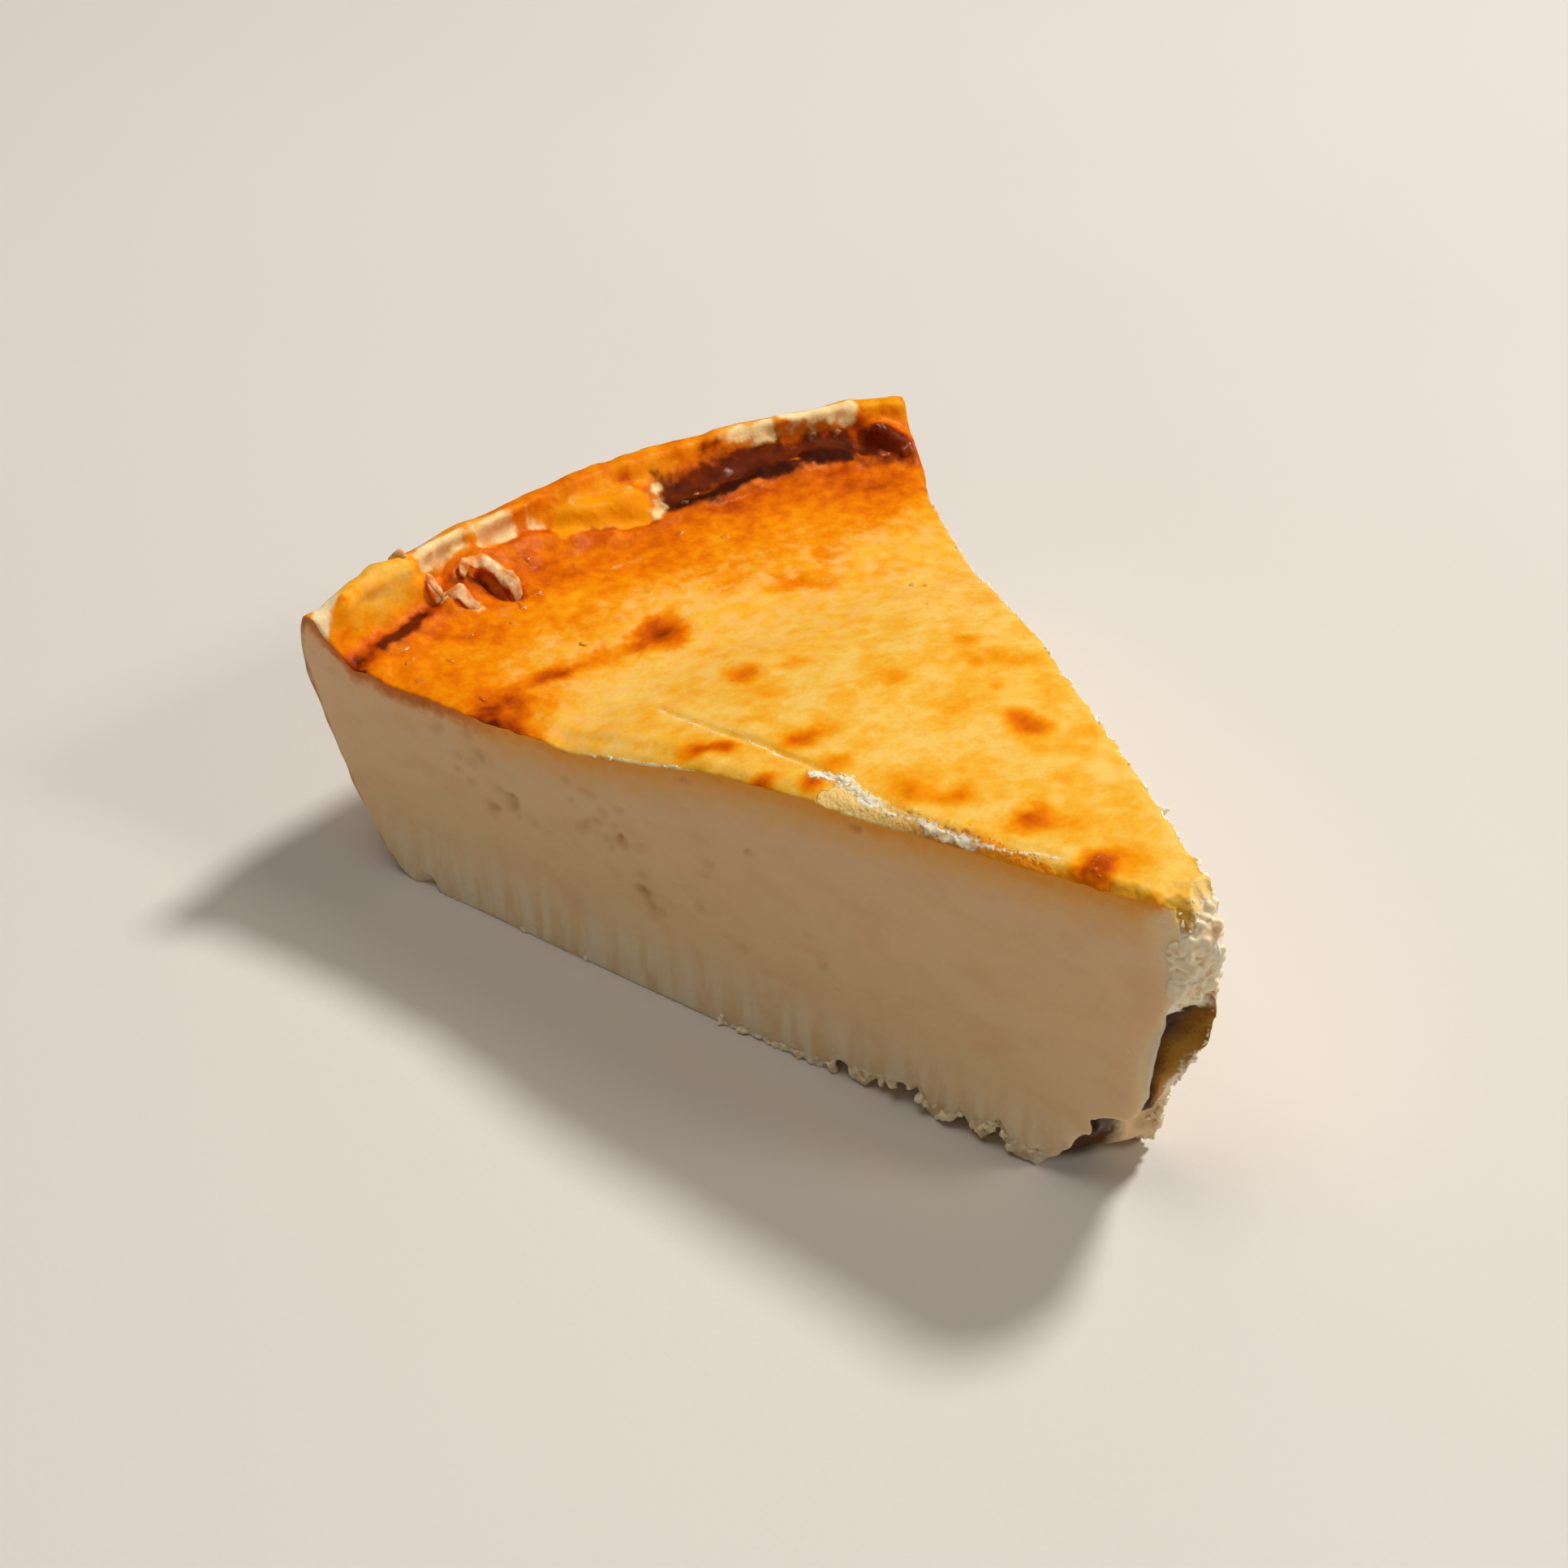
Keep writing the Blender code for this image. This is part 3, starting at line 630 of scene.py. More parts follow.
def skin_masks(places):
    """What the skin's finish reads at each place: how browned, burnt or shaded in its creases, yellow, pale
    or bare it is.
    """
    plan = places[:, :2]
    across, out = plan.T
    radius = np.hypot(across, out)
    wander = lumps(PATH_WANDER, across, out)
    browning = smooth_curve(BROWNING_CURVE, radius)
    for *spot, reach, share in SPOTS:
        distance = distance_to_spot(plan, *spot) * (1.0 + SPOT_WANDER * wander)
        browning += share * SPOT_STRENGTH * bump(distance, reach * SPOT_REACH)
    for path, half_width, share in BROWN_STREAKS:
        distance = distance_to_path(plan, path, wander * BROWN_WANDER)
        browning += share * bump(distance, half_width * BROWN_SOFTNESS)
    masks = {name: strokes(plan, wander, streaks) for name, streaks in STREAKS.items()}
    masks["pale"] = np.maximum(masks["pale"], bare_edge(PALE_EDGE, LEFT, plan, wander))
    masks["white"] = np.maximum(masks["white"], bare_edge(EDGE_BARE[RIGHT], RIGHT, plan, wander))
    masks["torn"] = bare_edge(EDGE_BARE[LEFT], LEFT, plan, wander)
    masks["wet"] = np.zeros(len(places))
    for *spot, reach in BLISTERS:
        near = bump(distance_to_spot(plan, *spot), WET_REACH * reach)
        masks["wet"] = np.maximum(masks["wet"], near)
    return {**masks, "browning": np.clip(browning, 0.0, 1.0), "radius": radius}


def bare_edge(widths, side, plan, wander):
    """How bare the skin is within some width of a cut edge, which wanders."""
    radius = np.hypot(*plan.T)
    width = straight_curve(widths, radius)
    from_face = radius * (HALF_ANGLE - side * np.arctan2(*plan.T)) + BARE_WANDER * wander
    soft = np.maximum(BARE_SOFTNESS * width, LEAST_BARE)
    bare = 1.0 - smooth_step((from_face - width + 0.5 * soft) / soft)
    return bare * smooth_step(width / LEAST_BARE)


def cream_masks(places, depth):
    """What the cut cream's finish reads: depth under the skin, the wall's crust, specks and painted shade in
    the pits, broken cream.
    """
    across, out, height = places.T
    radius = np.hypot(across, out)
    angle = np.arctan2(across, out)
    side = np.where(across > 0, RIGHT, LEFT)
    speck = pitting([(*spot, SPECK_REACH, SPECK_SHARE) for spot in FACE_SPECKS], radius, height)
    # The scattered pits are coloured darker too: painted shade in them
    for pit_side in (LEFT, RIGHT):
        pits = [(*pit[:3], PIT_SHADE_SHARE) for pit in scattered_pits(pit_side)]
        speck = np.maximum(speck, pitting(pits, radius, height) * (side == pit_side))
    crust = bump(np.maximum(smooth_curve(WALL_CURVE, height) - radius, 0.0), CRUST_THICKNESS)
    from_tip = radius - tip_radius(height, np.clip(angle / WEDGE_ANGLE + 0.5, 0.0, 1.0))
    width = straight_curve(BROKEN_WIDTH, height)
    broken = bump(np.maximum(from_tip, 0.0), np.maximum(width, LEAST_BROKEN))
    broken *= smooth_step(width / LEAST_BROKEN)
    return {"depth": depth, "crust": crust, "speck": speck, "broken": broken}


def side_finish(normal):
    """Which finish a side of the block gets. The cut faces are plain cream."""
    if abs(normal.z) > 0.5:
        return SKIN if normal.z > 0 else UNDERSIDE
    if abs(normal.x) > 0.5:
        return WALL if normal.x > 0 else TIP
    return CREAM


def lattice_block():
    """A unit cube whose six sides are cut into CELLS, each with its own finish."""
    block = bmesh.new()
    bmesh.ops.create_cube(block, size=1.0)
    block.normal_update()
    for face in block.faces:
        face.material_index = side_finish(face.normal)
    for axis, cells in enumerate(CELLS):
        runs = [e for e in block.edges if abs(e.verts[0].co[axis] - e.verts[1].co[axis]) > 0.5]
        bmesh.ops.subdivide_edges(block, edges=runs, cuts=cells - 1, use_grid_fill=True)
    bmesh.ops.reverse_faces(block, faces=block.faces)
    return block


def read_places(mesh):
    places = np.empty(len(mesh.vertices) * 3, np.float32)
    mesh.vertices.foreach_get("co", places)
    return places.reshape(-1, 3).astype(float)


def write_places(mesh, places):
    """Puts millimetre places into a mesh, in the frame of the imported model."""
    moved = (places - (0.0, BOX_MIDDLE, 0.0)) * MM
    mesh.vertices.foreach_set("co", moved.astype(np.float32).ravel())
    mesh.update()


def merge_flat_underside(mesh):
    """Joins the cells of the flat underside, which stands on the floor and needs no detail."""
    block = bmesh.new()
    block.from_mesh(mesh)
    flat = [f for f in block.faces if all(abs(v.co.z) < FLAT_WITHIN for v in f.verts)]
    bmesh.ops.dissolve_faces(block, faces=flat)
    block.to_mesh(mesh)
    block.free()


def add_masks(mesh, masks):
    for name, values in masks.items():
        mesh.attributes.new(name, "FLOAT", "POINT").data.foreach_set("value", values.astype(np.float32))


def placed(name, data):
    thing = bpy.data.objects.new(name, data)
    bpy.context.scene.collection.objects.link(thing)
    return thing


def mesh_from(block, name):
    mesh = bpy.data.meshes.new(name)
    block.to_mesh(mesh)
    block.free()
    return mesh


def taken_apart(block):
    """The places and faces of a block, which is then freed."""
    places = np.array([v.co[:] for v in block.verts])
    faces = [[v.index for v in face.verts] for face in block.faces]
    block.free()
    return places, faces


def add_object(mesh, finishes):
    piece = placed(mesh.name, mesh)
    for finish in finishes:
        mesh.materials.append(finish)
    mesh.shade_smooth()
    return piece


def add_piece(name, places, faces, finish, masks):
    """A piece of the slice from millimetre places and their faces."""
    mesh = bpy.data.meshes.new(name)
    mesh.from_pydata([(0.0, 0.0, 0.0)] * len(places), [], faces)
    write_places(mesh, places)
    add_masks(mesh, masks)
    dress(add_object(mesh, [finish]))


def make_wedge(finishes):
    """The whole slice, and its surface as a tree to find the nearest place on."""
    mesh = mesh_from(lattice_block(), "wedge")
    lattice = read_places(mesh) + 0.5
    for axis, crowding in enumerate(CROWDING):
        lattice[:, axis] -= crowding * np.sin(math.tau * lattice[:, axis]) / math.tau
    places, depth = shaped_places(*lattice.T)
    write_places(mesh, places)
    add_masks(mesh, {**skin_masks(places), **cream_masks(places, depth)})
    surface = BVHTree.FromPolygons(places.tolist(), [face.vertices[:] for face in mesh.polygons])
    merge_flat_underside(mesh)
    dress(add_object(mesh, finishes))
    return surface


def unit_ball():
    block = bmesh.new()
    bmesh.ops.create_icosphere(block, subdivisions=BALL_CUTS, radius=1.0)
    return taken_apart(block)


def join_copies(copies, faces):
    """Joins bodies that share one layout of faces, each given by its own places."""
    count = len(copies[0])
    starts = range(0, count * len(copies), count)
    return np.concatenate(copies), [[start + n for n in face] for start in starts for face in faces]


def scatter(draw, path, spread, count):
    """Places at random along a path, within about a spread of it."""
    path = np.array(path, float)
    ends = np.concatenate(([0.0], np.cumsum(np.linalg.norm(np.diff(path, axis=0), axis=1))))
    along = draw.uniform(0.0, ends[-1], count)
    places = np.stack([np.interp(along, ends, path[:, axis]) for axis in range(3)], axis=1)
    return places + draw.normal(0.0, spread, (count, 3))


def face_path(side, *stops):
    """A path on a cut face's plane, from the radius and height of each stop."""
    angle = side * HALF_ANGLE
    return [(radius * math.sin(angle), radius * math.cos(angle), height) for radius, height in stops]


def edge_path(side, *radii):
    """A path along a cut face's top edge."""
    return face_path(side, *((radius, float(smooth_curve(TOP_CURVE, radius))) for radius in radii))


def lumpy_ball(ball, draw, radius, flatness, normal):
    """One crumb or flake about the origin, its flat side facing along the normal."""
    offset = draw.uniform(-LUMP_OFFSET, LUMP_OFFSET, 3)
    swell = 1.0 + flatness * lumps(CRUMB_LUMPS, *(ball + offset).T)
    stretch = draw.uniform(*CRUMB_STRETCH, 3) * (1.0, 1.0, flatness)
    spin = Quaternion((0, 0, 1), draw.uniform(0.0, math.tau))
    if flatness == 1.0:
        spin = Quaternion(draw.normal(size=4)).normalized()
    turn = (normal.to_track_quat("Z", "Y") @ spin).to_matrix()
    return (ball * swell[:, None] * stretch * radius) @ np.array(turn).T


def set_balls(groups, flatness, surface):
    """Lumpy balls in groups, each sunk some way into the nearest place of the surface."""
    draw = np.random.default_rng(CRUMB_SEED)
    ball, faces = unit_ball()
    crumbs = []
    for path, spread, count, (smallest, largest) in groups:
        for place in scatter(draw, path, spread, count):
            spot, normal, _, _ = surface.find_nearest(place.tolist())
            radius = smallest + (largest - smallest) * draw.uniform() ** 2
            crumb = lumpy_ball(ball, draw, radius, flatness, normal)
            crumbs.append(crumb + spot - normal * (radius * CRUMB_SINK * flatness))
    return join_copies(crumbs, faces)


def melted(places, faces):
    """One closed skin around all of the balls, smoothed where they meet."""
    mesh = bpy.data.meshes.new("loose")
    mesh.from_pydata(places.tolist(), [], faces)
    loose = placed("loose", mesh)
    remesh = loose.modifiers.new("melt", "REMESH")
    remesh.mode = "VOXEL"
    remesh.voxel_size = MELT_CELL
    block = bmesh.new()
    block.from_object(loose, bpy.context.evaluated_depsgraph_get())
    bpy.data.objects.remove(loose)
    for _ in range(MELT_ROUNDS):
        bmesh.ops.smooth_vert(block, verts=block.verts, factor=MELT_FACTOR, use_axis_x=True,
                              use_axis_y=True, use_axis_z=True)
    return taken_apart(block)


def make_crumbs(surface, finish):
    places, faces = melted(*set_balls(crumb_groups(), 1.0, surface))
    places[:, 2] = np.maximum(places[:, 2], 0.0)
    add_piece("crumbs", places, faces, finish, {})


def make_flakes(surface, finish):
    places, faces = set_balls(FLAKE_GROUPS, FLAKE_FLATNESS, surface)
    masks = skin_masks(places)
    masks.update({name: np.zeros(len(places)) for name in ("torn", "white")})
    add_piece("skin_flakes", places, faces, finish, masks)


def make_blisters(surface, finish):
    spots = np.array(BLISTERS)
    heights = top_height(spots[:, :2])
    groups = [([(across, out, height)] * 2, 0.0, 1, (BLISTER_SPREAD * radius,) * 2)
              for (across, out, radius), height in zip(BLISTERS, heights)]
    places, faces = set_balls(groups, BLISTER_FLATNESS, surface)
    add_piece("blisters", places, faces, finish, skin_masks(places))


def crumb_groups():
    """Where cream has crumbled: the cut edges, the torn strip, the tip and its foot."""
    torn = [np.add((*spot, smooth_curve(TOP_CURVE, math.hypot(*spot))), TORN_CRUMB_SHIFT)
            for spot in TORN_PATH]
    return (
        (edge_path(RIGHT, 9, 30, 57, 72, 97), 0.12, 230, (0.13, 0.3)),
        (edge_path(RIGHT, 21, 21.2), 0.05, 1, (0.5, 0.5)),
        (edge_path(LEFT, 61, 70, 78), 0.12, 40, (0.13, 0.24)),
        (torn, 0.1, 60, (0.12, 0.22)),
        ([(-13.8, 46.4, 36.6), (-12.6, 43.4, 37), (-13, 39.4, 37.4)], 0.4, 110, (0.13, 0.34)),
        ([(-11.4, 33.8, 38.6), (-10.8, 30.4, 39), (-9.8, 27.4, 39.4)], 0.3, 90, (0.12, 0.3)),
        ([(-2.2, 6.2, 38), (-1.8, 5.6, 31)], 0.55, 50, (0.4, 1.1)),
        ([(0.2, 6.2, 39), (0.2, 5.4, 31)], 0.65, 60, (0.4, 1.2)),
        ([(1.6, 6.8, 40.5), (1.5, 5, 32)], 0.5, 50, (0.4, 1)),
        ([(0.4, 7, 41), (0.4, 5.4, 31)], 1.3, 120, (0.15, 0.3)),
        (face_path(RIGHT, (8, 41.5), (5.4, 37), (5.2, 31)), 0.35, 90, (0.14, 0.4)),
        ([(-2, 6.4, 30), (0, 5.8, 30.4), (1.9, 5, 31.2)], 0.4, 50, (0.15, 0.5)),
        (face_path(RIGHT, (5.2, 30), (5.2, 24.5), (7.1, 21), (9.3, 16), (12, 10)), 0.06, 110, (0.13, 0.22)),
        (face_path(RIGHT, (7, 21.2), (8, 19)), 0.3, 16, (0.14, 0.4)),
        (face_path(RIGHT, (12, 10), (13.2, 4), (15.6, 0.5)), 0.6, 110, (0.15, 0.5)),
        (face_path(LEFT, (19, 1.6), (24, 2.8), (31, 1), (38, 2.3), (46, 0.4), (60, 0.2)), 0.45, 360,
         (0.14, 0.5)),
        (face_path(RIGHT, (18, 0.2), (70, 0.2)), 0.4, 90, (0.14, 0.35)),
        (face_path(LEFT, (60, 0.2), (100, 0.2)), 0.35, 70, (0.13, 0.32)),
    )


def shred_sections(stations):
    """The rings of one shred of lifted skin, a flat ribbon tapering to its ends."""
    stations = np.array(stations)
    share = np.arange(len(stations))
    at = np.linspace(0, share[-1], SHRED_STATIONS)
    across, out, lift, half_width = (smooth_curve(tuple(zip(share, values)), at) for values in stations.T)
    plan = np.stack((across, out), axis=1)
    base = top_height(plan)
    run = np.gradient(plan, axis=0)
    run /= np.linalg.norm(run, axis=1)[:, None]
    rings = []
    for turn in np.linspace(0.0, math.tau, SHRED_SIDES, endpoint=False):
        wide, thick = half_width * math.cos(turn), SHRED_THICKNESS * math.sin(turn)
        sideways = wide * math.cos(SHRED_TILT)
        ring = np.stack((across + run[:, 1] * sideways, out - run[:, 0] * sideways,
                         base + lift - wide * math.sin(SHRED_TILT) + thick), axis=1)
        ring[:, 2] += lumps(SHRED_WANDER, *ring[:, :2].T)
        rings.append(ring)
    return np.stack(rings, axis=1)


def shred_faces():
    """The faces of one shred: its rings joined, and both ends closed."""
    faces = []
    for station in range(SHRED_STATIONS - 1):
        start, end = station * SHRED_SIDES, (station + 1) * SHRED_SIDES
        for side in range(SHRED_SIDES):
            after = (side + 1) % SHRED_SIDES
            faces.append((start + side, start + after, end + after, end + side))
    last = (SHRED_STATIONS - 1) * SHRED_SIDES
    return faces + [tuple(reversed(range(SHRED_SIDES))), tuple(range(last, last + SHRED_SIDES))]


def make_shreds(finish):
    shreds = [shred_sections(stations).reshape(-1, 3) for stations in SHREDS]
    add_piece("lifted_skin", *join_copies(shreds, shred_faces()), finish, {})


def dress(piece):
    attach(piece, BODY)
    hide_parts(NODE)


def srgb(red, green, blue):
    """A colour as a screen shows it, as the linear colour that a shader takes."""
    shares = (value / 255 for value in (red, green, blue))
    return tuple(s / 12.92 if s <= 0.04045 else ((s + 0.055) / 1.055) ** 2.4 for s in shares) + (1.0,)


class Finish:
    """A material whose colour, gloss and grain come from nodes. Sizes are millimetres."""

    def __init__(self, name):
        self.material = bpy.data.materials.new(name)
        self.material.use_nodes = True
        self.tree = self.material.node_tree
        self.shader = self.tree.nodes["Principled BSDF"]
        self.place = self.add("ShaderNodeTexCoord").outputs["Object"]
        axes = self.add("ShaderNodeSeparateXYZ")
        self.feed(axes.inputs["Vector"], self.place)
        self.across = self.calc("DIVIDE", axes.outputs["X"], MM)
        self.height = self.calc("DIVIDE", axes.outputs["Z"], MM)
        self.colour = None
        self.normal = None

    def add(self, kind, **settings):
        node = self.tree.nodes.new(kind)
        for name, value in settings.items():
            setattr(node, name, value)
        return node

    def feed(self, socket, value):
        if isinstance(value, bpy.types.NodeSocket):
            self.tree.links.new(value, socket)
        else:
            socket.default_value = value

    def mask(self, name):
        return self.add("ShaderNodeAttribute", attribute_name=name).outputs["Fac"]

    def scaled_place(self, size, seed, stretch):
        mapping = self.add("ShaderNodeMapping")
        self.feed(mapping.inputs["Vector"], self.place)
        self.feed(mapping.inputs["Location"], (seed, -seed, 0.5 * seed))
        self.feed(mapping.inputs["Scale"], [1.0 / (size * MM * share) for share in stretch])
        return mapping.outputs["Vector"]

    def noise(self, size, seed, detail=2, stretch=(1, 1, 1)):
        texture = self.add("ShaderNodeTexNoise")
        self.feed(texture.inputs["Vector"], self.scaled_place(size, seed, stretch))
        self.feed(texture.inputs["Scale"], 1.0)
        self.feed(texture.inputs["Detail"], detail)
        return texture.outputs["Fac"]

    def cells(self, size, seed):
        """The distance to the nearest of points scattered about size apart, in that size."""
        texture = self.add("ShaderNodeTexVoronoi")
        self.feed(texture.inputs["Vector"], self.scaled_place(size, seed, (1, 1, 1)))
        self.feed(texture.inputs["Scale"], 1.0)
        return texture.outputs["Distance"]

    def calc(self, operation, first, second):
        node = self.add("ShaderNodeMath", operation=operation)
        for socket, value in zip(node.inputs, (first, second)):
            self.feed(socket, value)
        return node.outputs["Value"]

    def plus(self, first, second):
        return self.calc("ADD", first, second)

    def times(self, product, *factors):
        for factor in factors:
            product = self.calc("MULTIPLY", product, factor)
        return product

    def larger(self, first, second):
        return self.calc("MAXIMUM", first, second)

    def spread(self, noise, start, end):
        """Stretches a noise, which hardly leaves its middle, from start to end."""
        return self.remap(noise, *NOISE_SPAN, start, end)

    def uneven(self, value, noise, amount):
        """Raises and lowers a value by up to an amount, as a noise goes."""
        return self.plus(value, self.spread(noise, -amount, amount))

    def remap(self, value, first, last, start=0.0, end=1.0):
        """From start, at the first value or before it, to end, at the last or beyond, easing between."""
        node = self.add("ShaderNodeMapRange", interpolation_type="SMOOTHSTEP")
        for name, setting in (("Value", value), ("From Min", first), ("From Max", last),
                              ("To Min", start), ("To Max", end)):
            self.feed(node.inputs[name], setting)
        return node.outputs["Result"]

    def blend(self, share, first, second):
        """A colour from first, at no share, to second. Each is as a screen shows it, or a socket."""
        node = self.add("ShaderNodeMix", data_type="RGBA")
        for place, value in ((MIX_SHARE, share), (MIX_FIRST, first), (MIX_SECOND, second)):
            self.feed(node.inputs[place], srgb(*value) if isinstance(value, tuple) else value)
        return node.outputs[MIX_RESULT]

    def ramp(self, value, stops):
        node = self.add("ShaderNodeValToRGB")
        elements = node.color_ramp.elements
        while len(elements) < len(stops):
            elements.new(0.5)
        for element, (position, colour) in zip(elements, stops):
            element.position = position
            element.color = srgb(*colour)
        self.feed(node.inputs["Fac"], value)
        return node.outputs["Color"]

    def coat(self, share, colour):
        """Covers the colour so far with another, as far as the share says."""
        self.colour = self.blend(share, self.colour, colour)

    def grain(self, height, depth):
        """Adds relief of a depth to the surface so far."""
        node = self.add("ShaderNodeBump")
        self.feed(node.inputs["Height"], height)
        self.feed(node.inputs["Distance"], depth * MM)
        if self.normal:
            self.feed(node.inputs["Normal"], self.normal)
        self.normal = node.outputs["Normal"]

    def finish(self, roughness, gloss, glow=0.0, depth=1.0, spread=(1.0, 0.6, 0.25)):
        """The finished material. Light glows through it, to a depth, spread by colour."""
        for name, value in (("Base Color", self.colour), ("Roughness", roughness), ("Normal", self.normal),
                            ("Specular IOR Level", gloss), ("Subsurface Weight", glow),
                            ("Subsurface Scale", depth * MM), ("Subsurface Radius", spread)):
            self.feed(self.shader.inputs[name], value)
        return self.material


def brown(skin, radius, fine, mottle):
    """From pale yellow to dark brown, with a pale bloom where the top starts to fall to the rim."""
    mottling = skin.times(skin.remap(mottle, 0.25, 0.75, -1.0), skin.remap(radius, *RIM_LOOK, 0.07, 0.1))
    browning = skin.plus(skin.mask("browning"), mottling)
    browning = skin.uneven(browning, skin.noise(7.0, seed=9, detail=3), 0.07)
    browning = skin.uneven(browning, fine, 0.025)
    bloom = skin.times(skin.remap(radius, *BLOOM_RISE), skin.remap(radius, *BLOOM_FALL),
                       skin.remap(skin.noise(2.0, seed=11, detail=4), 0.4, 0.7, end=0.75),
                       skin.remap(browning, 0.42, 0.24))
    skin.colour = skin.blend(bloom, skin.ramp(browning, BROWNING_COLOURS), BLOOM_COLOUR)


def colour_rim(skin, mottle):
    """Yellow, burnt, charred and dried skin over the browned one, with painted shade in the dent and the
    creases. Returns how rough it gets.
    """
    skin.coat(skin.remap(skin.mask("yellow"), 0.2, 0.7), YELLOW_COLOUR)
    # Painted shade in the dent at the tip
    skin.coat(skin.remap(skin.mask("dent"), 0.2, 0.8, end=0.8), DENT_SHADE_COLOUR)
    burnt = skin.remap(skin.uneven(skin.mask("burnt"), mottle, 0.15), 0.1, 0.75)
    skin.coat(burnt, skin.ramp(skin.noise(3.2, seed=13), BURNT_COLOURS))
    # Charred skin, and painted shade in the crease under the burnt band
    skin.coat(skin.remap(skin.mask("charred"), 0.15, 0.9, end=0.85), CHARRED_AND_SHADE_COLOUR)
    pale = skin.times(skin.remap(skin.plus(skin.mask("pale"), skin.spread(mottle, -0.34, 0.2)), 0.0, 1.0),
                      skin.remap(skin.mask("pale"), 0.0, 0.3))
    skin.coat(pale, skin.ramp(pale, PALE_COLOURS))
    return skin.larger(burnt, skin.times(pale, 0.6))


def bare_cream(skin, radius, fine):
    """Cream where skin is gone: the corner, the torn strip and the broken edges. Returns how bare."""
    skin.coat(skin.remap(skin.mask("corner"), 0.25, 0.7), CORNER_COLOUR)
    # The torn strip's lining carries a painted glow near the tip and painted shade further out
    along = skin.calc("SUBTRACT", skin.uneven(radius, fine, 1.5), LINING_START)
    along = skin.calc("DIVIDE", along, LINING_END - LINING_START)
    torn = skin.remap(skin.uneven(skin.mask("torn"), fine, 0.2), 0.3, 0.65)
    skin.coat(torn, skin.ramp(along, LINING_GLOW_AND_SHADE_COLOURS))
    white = skin.remap(skin.uneven(skin.mask("white"), fine, 0.2), 0.3, 0.75)
    skin.coat(white, BROKEN_CREAM_COLOUR)
    return skin.larger(white, torn)


def roughen_skin(skin, radius, fine, bare):
    """Close grain all over, small domes at the rim and crumbs where the cream is bare."""
    domes = skin.remap(skin.cells(1.7, seed=21), 0.42, 0.0)
    skin.grain(skin.noise(0.3, seed=17, detail=1), 0.028)
    skin.grain(skin.noise(0.8, seed=19), 0.05)
    skin.grain(skin.times(domes, skin.remap(radius, *RIM_LOOK)), 0.06)
    skin.grain(skin.times(fine, bare), 0.25)


def skin_finish(name, gloss, glow):
    """The browned top: glossy, mottled, burnt at the rim, torn open to the cream in places."""
    skin = Finish(name)
    fine = skin.noise(0.55, seed=3, detail=3)
    mottle = skin.noise(1.9, seed=5, detail=3)
    radius = skin.mask("radius")
    brown(skin, radius, fine, mottle)
    rough_rim = colour_rim(skin, mottle)
    bare = bare_cream(skin, radius, fine)
    roughen_skin(skin, radius, fine, bare)
    roughness = skin.uneven(skin.remap(radius, *RIM_LOOK, 0.42, 0.4), fine, 0.05)
    roughness = skin.calc("SUBTRACT", roughness, skin.times(skin.mask("wet"), 0.2))
    roughness = skin.plus(roughness, skin.times(skin.larger(bare, rough_rim), 0.25))
    skin.feed(skin.shader.inputs["Specular Tint"], WARM_SHEEN)
    return skin.finish(roughness, gloss, glow)


def roughen_cream(cream):
    """The close grain of set cream, with a pit here and there."""
    cream.grain(cream.noise(0.35, seed=43), 0.07)
    cream.grain(cream.noise(1.1, seed=49, detail=3, stretch=(2.5, 2.5, 1)), 0.12)
    cream.grain(cream.remap(cream.cells(2.4, seed=41), 0.05, 0.3), 0.1)
    cream.grain(cream.noise(6.0, seed=47), 0.25)


def cream_finish():
    """The set cream of the cut faces, warmed as painted shade, with the cut skin at the top and a painted
    glow below it, crusty at the wall, paler and streaked at the foot, partly as painted light.
    """
    cream = Finish("set_cream")
    fine = cream.noise(0.5, seed=29, detail=3)
    patchy = cream.noise(1.6, seed=37)
    rim = cream.remap(cream.mask("radius"), *CUT_RIM)
    # Cream of the cut faces in a warm tone that carries painted shade
    high = cream.uneven(cream.remap(cream.height, *HIGH_CREAM), cream.noise(9.0, seed=39), 0.25)
    cream.colour = cream.blend(high, LOW_CREAM_COLOUR, HIGH_CREAM_COLOUR)
    clouds = cream.noise(3.4, seed=45, detail=4, stretch=(1.6, 1.6, 1))
    cream.coat(cream.remap(clouds, 0.46, 0.72, end=0.3), CLOUD_COLOUR)
    # Paler torn cream in streaks at the bottom of the faces, lightened further as painted light
    streaks = cream.remap(cream.noise(1.8, seed=51, detail=3, stretch=(1, 1, 6)), 0.35, 0.65, 0.15)
    cream.coat(cream.times(cream.remap(cream.height, *FRINGE, end=0.85), streaks), FRINGE_AND_LIGHT_COLOUR)
    depth = cream.uneven(cream.mask("depth"), patchy, 0.35)
    # Painted glow of light through the skin, below the cut skin's orange
    glow = cream.times(cream.remap(depth, *SKIN_GLOW, end=0.85), cream.remap(rim, 0.0, 1.0, 1.0, 0.3))
    cream.coat(glow, PAINTED_GLOW_COLOUR)
    cream.coat(cream.remap(depth, *CUT_SKIN, end=0.95), CUT_SKIN_COLOUR)
    cream.coat(cream.times(cream.remap(depth, *CUT_RIM_SKIN, end=0.9), rim), RIM_CUT_COLOUR)
    cream.coat(cream.times(cream.mask("crust"), cream.remap(patchy, 0.3, 0.6, 0.3)), CRUST_COLOUR)
    # Specks, and painted shade in the pits
    cream.coat(cream.mask("speck"), SPECK_AND_PIT_SHADE_COLOUR)
    broken = cream.uneven(cream.mask("broken"), fine, 0.06)
    cream.coat(cream.remap(broken, 0.0, 1.0, end=0.75), TIP_EDGE_COLOUR)
    roughen_cream(cream)
    roughness = cream.spread(fine, 0.42, 0.58)
    return cream.finish(roughness, gloss=0.3, glow=0.5, depth=1.5, spread=(1.0, 0.75, 0.45))


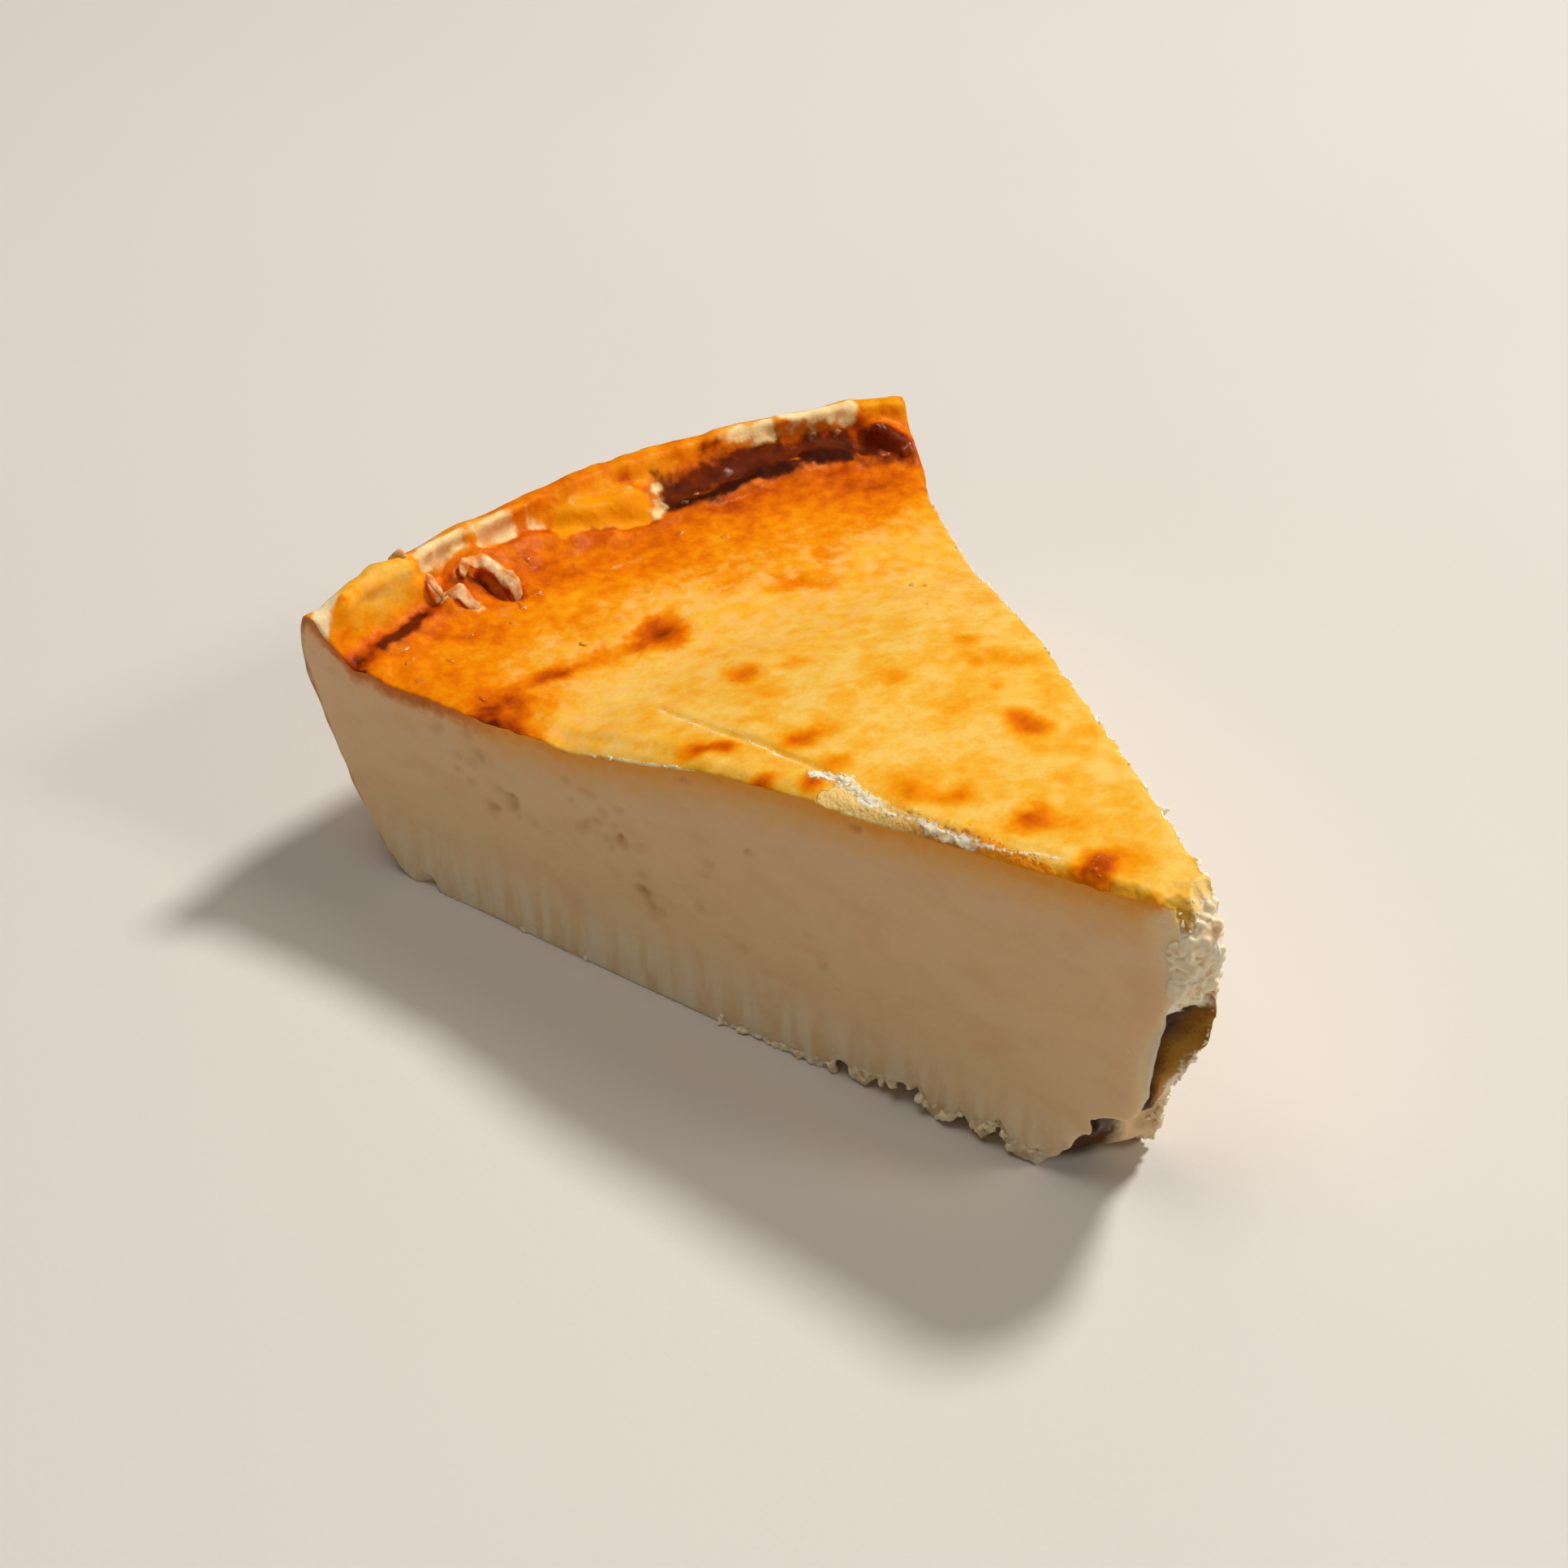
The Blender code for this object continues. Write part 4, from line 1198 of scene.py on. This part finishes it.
def broken_finish():
    """Broken cream: white crumbs above, an amber hollow with painted shade and glow, and cream again at the
    foot, with painted shade on its left.
    """
    broken = Finish("broken_cream")
    fine = broken.noise(0.5, seed=29, detail=3)
    to_right = broken.uneven(broken.across, fine, 0.2)
    height = broken.uneven(broken.height, broken.noise(1.8, seed=35), 1.0)
    tilted = broken.calc("SUBTRACT", height, broken.times(to_right, AMBER_TILT))
    # Painted shade on the foot's left part, plain cream where it turns to the right
    foot = broken.blend(broken.remap(to_right, *LIT_FOOT), FOOT_SHADE_COLOUR, LOW_CREAM_COLOUR)
    broken.colour = broken.blend(broken.remap(height, *BROKEN_CREAM), foot, BROKEN_CREAM_COLOUR)
    # The amber hollow is darkest at its left as painted shade and turns golden at its right as a painted
    # glow through the thin flake
    amber = broken.times(broken.remap(height, *AMBER_FOOT), broken.remap(tilted, *AMBER_TOP),
                         broken.remap(to_right, *AMBER_RIGHT, 0.1))
    broken.coat(amber, broken.ramp(broken.remap(to_right, *AMBER_SHADE_TO_GLOW), AMBER_SHADE_AND_GLOW_COLOURS))
    depth = broken.uneven(broken.mask("depth"), fine, 0.3)
    broken.coat(broken.remap(depth, *TIP_SKIN), TIP_SKIN_COLOUR)
    # Painted shade in the dent in the brow
    dent = broken.times(broken.remap(to_right, *DENT_LEFT), broken.remap(to_right, *DENT_RIGHT),
                        broken.remap(depth, *DENT_DEPTH, end=0.9))
    broken.coat(dent, DENT_SHADE_COLOUR)
    roughen_cream(broken)
    return broken.finish(broken.spread(fine, 0.42, 0.58), gloss=0.06, glow=0.15, depth=0.8)


def crumb_finish():
    """Crumbs of cream: nearly white, with warmer specks."""
    crumb = Finish("crumbs")
    tint = crumb.noise(1.4, seed=91)
    crumb.colour = CRUMB_COLOUR
    crumb.coat(crumb.remap(tint, 0.5, 0.7, end=0.5), CREVICE_COLOUR)
    crumb.grain(crumb.noise(0.2, seed=93), 0.04)
    roughness = crumb.spread(tint, 0.55, 0.7)
    return crumb.finish(roughness, gloss=0.08, glow=0.7, depth=0.4, spread=(1.0, 0.95, 0.85))


def lifted_finish():
    """Skin that has lifted off and dried: pinkish tan, translucent."""
    lifted = Finish("lifted_skin")
    tint = lifted.noise(1.3, seed=95, detail=3)
    lifted.colour = lifted.ramp(tint, LIFTED_COLOURS)
    lifted.grain(lifted.noise(0.3, seed=97), 0.04)
    roughness = lifted.spread(tint, 0.35, 0.5)
    return lifted.finish(roughness, gloss=0.3, glow=0.5, depth=0.6, spread=(1.0, 0.5, 0.2))


def wall_finish():
    """The baked outside: golden and wrinkled, darker towards the rim."""
    wall = Finish("baked_wall")
    mottle = wall.noise(2.6, seed=53, detail=4)
    broad = wall.noise(14.0, seed=59, detail=3)
    browning = wall.remap(wall.mask("depth"), *WALL_BROWNING, end=0.42)
    browning = wall.plus(browning, wall.spread(broad, 0.1, 0.42))
    wall.colour = wall.ramp(wall.plus(browning, wall.spread(mottle, -0.12, 0.16)), WALL_COLOURS)
    wall.grain(wall.noise(0.5, seed=61, detail=3), 0.06)
    wall.grain(wall.noise(2.5, seed=67, detail=3, stretch=(1, 1, 2.5)), 0.4)
    return wall.finish(wall.spread(mottle, 0.45, 0.6), gloss=0.4, glow=0.25, spread=(1.0, 0.5, 0.25))


def underside_finish():
    """The baked underside, pale gold and matt."""
    under = Finish("baked_underside")
    mottle = under.noise(4.0, seed=71, detail=4)
    under.colour = under.ramp(under.spread(mottle, 0.0, 1.0), UNDERSIDE_COLOURS)
    under.grain(under.noise(0.7, seed=73, detail=3), 0.1)
    return under.finish(under.spread(mottle, 0.55, 0.7), gloss=0.3)


def floor_finish():
    floor = Finish("studio_floor")
    shade = floor.remap(floor.noise(160.0, seed=79), 0.2, 0.8, 0.97)
    floor.colour = floor.blend(shade, (0, 0, 0), FLOOR_COLOUR)
    floor.grain(floor.noise(0.6, seed=83), 0.02)
    return floor.finish(0.75, gloss=0.2)


def aim(thing, target, azimuth, elevation, distance, roll=0.0):
    """Puts a thing at a distance from a target and turns it there. The angles are degrees."""
    azimuth, elevation = math.radians(azimuth), math.radians(elevation)
    back = Vector((math.sin(azimuth) * math.cos(elevation), -math.cos(azimuth) * math.cos(elevation),
                   math.sin(elevation)))
    thing.location = (Vector(target) + back * distance) * MM
    thing.rotation_mode = "QUATERNION"
    thing.rotation_quaternion = back.to_track_quat("Z", "Y") @ Quaternion((0, 0, 1), math.radians(roll))


def add_camera():
    camera = placed("camera", bpy.data.cameras.new("camera"))
    camera.data.lens = LENS
    camera.data.sensor_width = SENSOR
    camera.data.clip_start = NEAREST_SEEN * MM
    aim(camera, CAMERA_AIM, CAMERA_AZIMUTH, CAMERA_ELEVATION, CAMERA_DISTANCE, CAMERA_ROLL)
    bpy.context.scene.camera = camera


def add_lights():
    for name, azimuth, elevation, width, power, colour in LIGHTS:
        light = placed(name, bpy.data.lights.new(name, "AREA"))
        light.data.shape = "DISK"
        light.data.size = width * MM
        light.data.energy = power
        light.data.color = colour
        aim(light, LIGHT_AIM, azimuth, elevation, LIGHT_DISTANCE)


def add_studio():
    scene = bpy.context.scene
    scene.view_settings.view_transform = "Standard"
    scene.world = bpy.data.worlds.new("studio")
    scene.world.use_nodes = True
    background = scene.world.node_tree.nodes["Background"]
    background.inputs["Color"].default_value = WORLD_COLOUR
    background.inputs["Strength"].default_value = WORLD_STRENGTH
    add_lights()

    block = bmesh.new()
    bmesh.ops.create_grid(block, x_segments=1, y_segments=1, size=FLOOR_REACH * MM)
    floor = add_object(mesh_from(block, "floor"), [floor_finish()])
    floor.location.z = -FLOOR_DROP * MM


add_camera()
add_studio()
skin = skin_finish("browned_skin", gloss=0.08, glow=0.25)
surface = make_wedge([cream_finish(), skin, wall_finish(), underside_finish(), broken_finish()])
make_crumbs(surface, crumb_finish())
make_flakes(surface, skin_finish("loose_skin", gloss=0.15, glow=0.0))
make_blisters(surface, skin_finish("blistered_skin", gloss=0.8, glow=0.0))
make_shreds(lifted_finish())
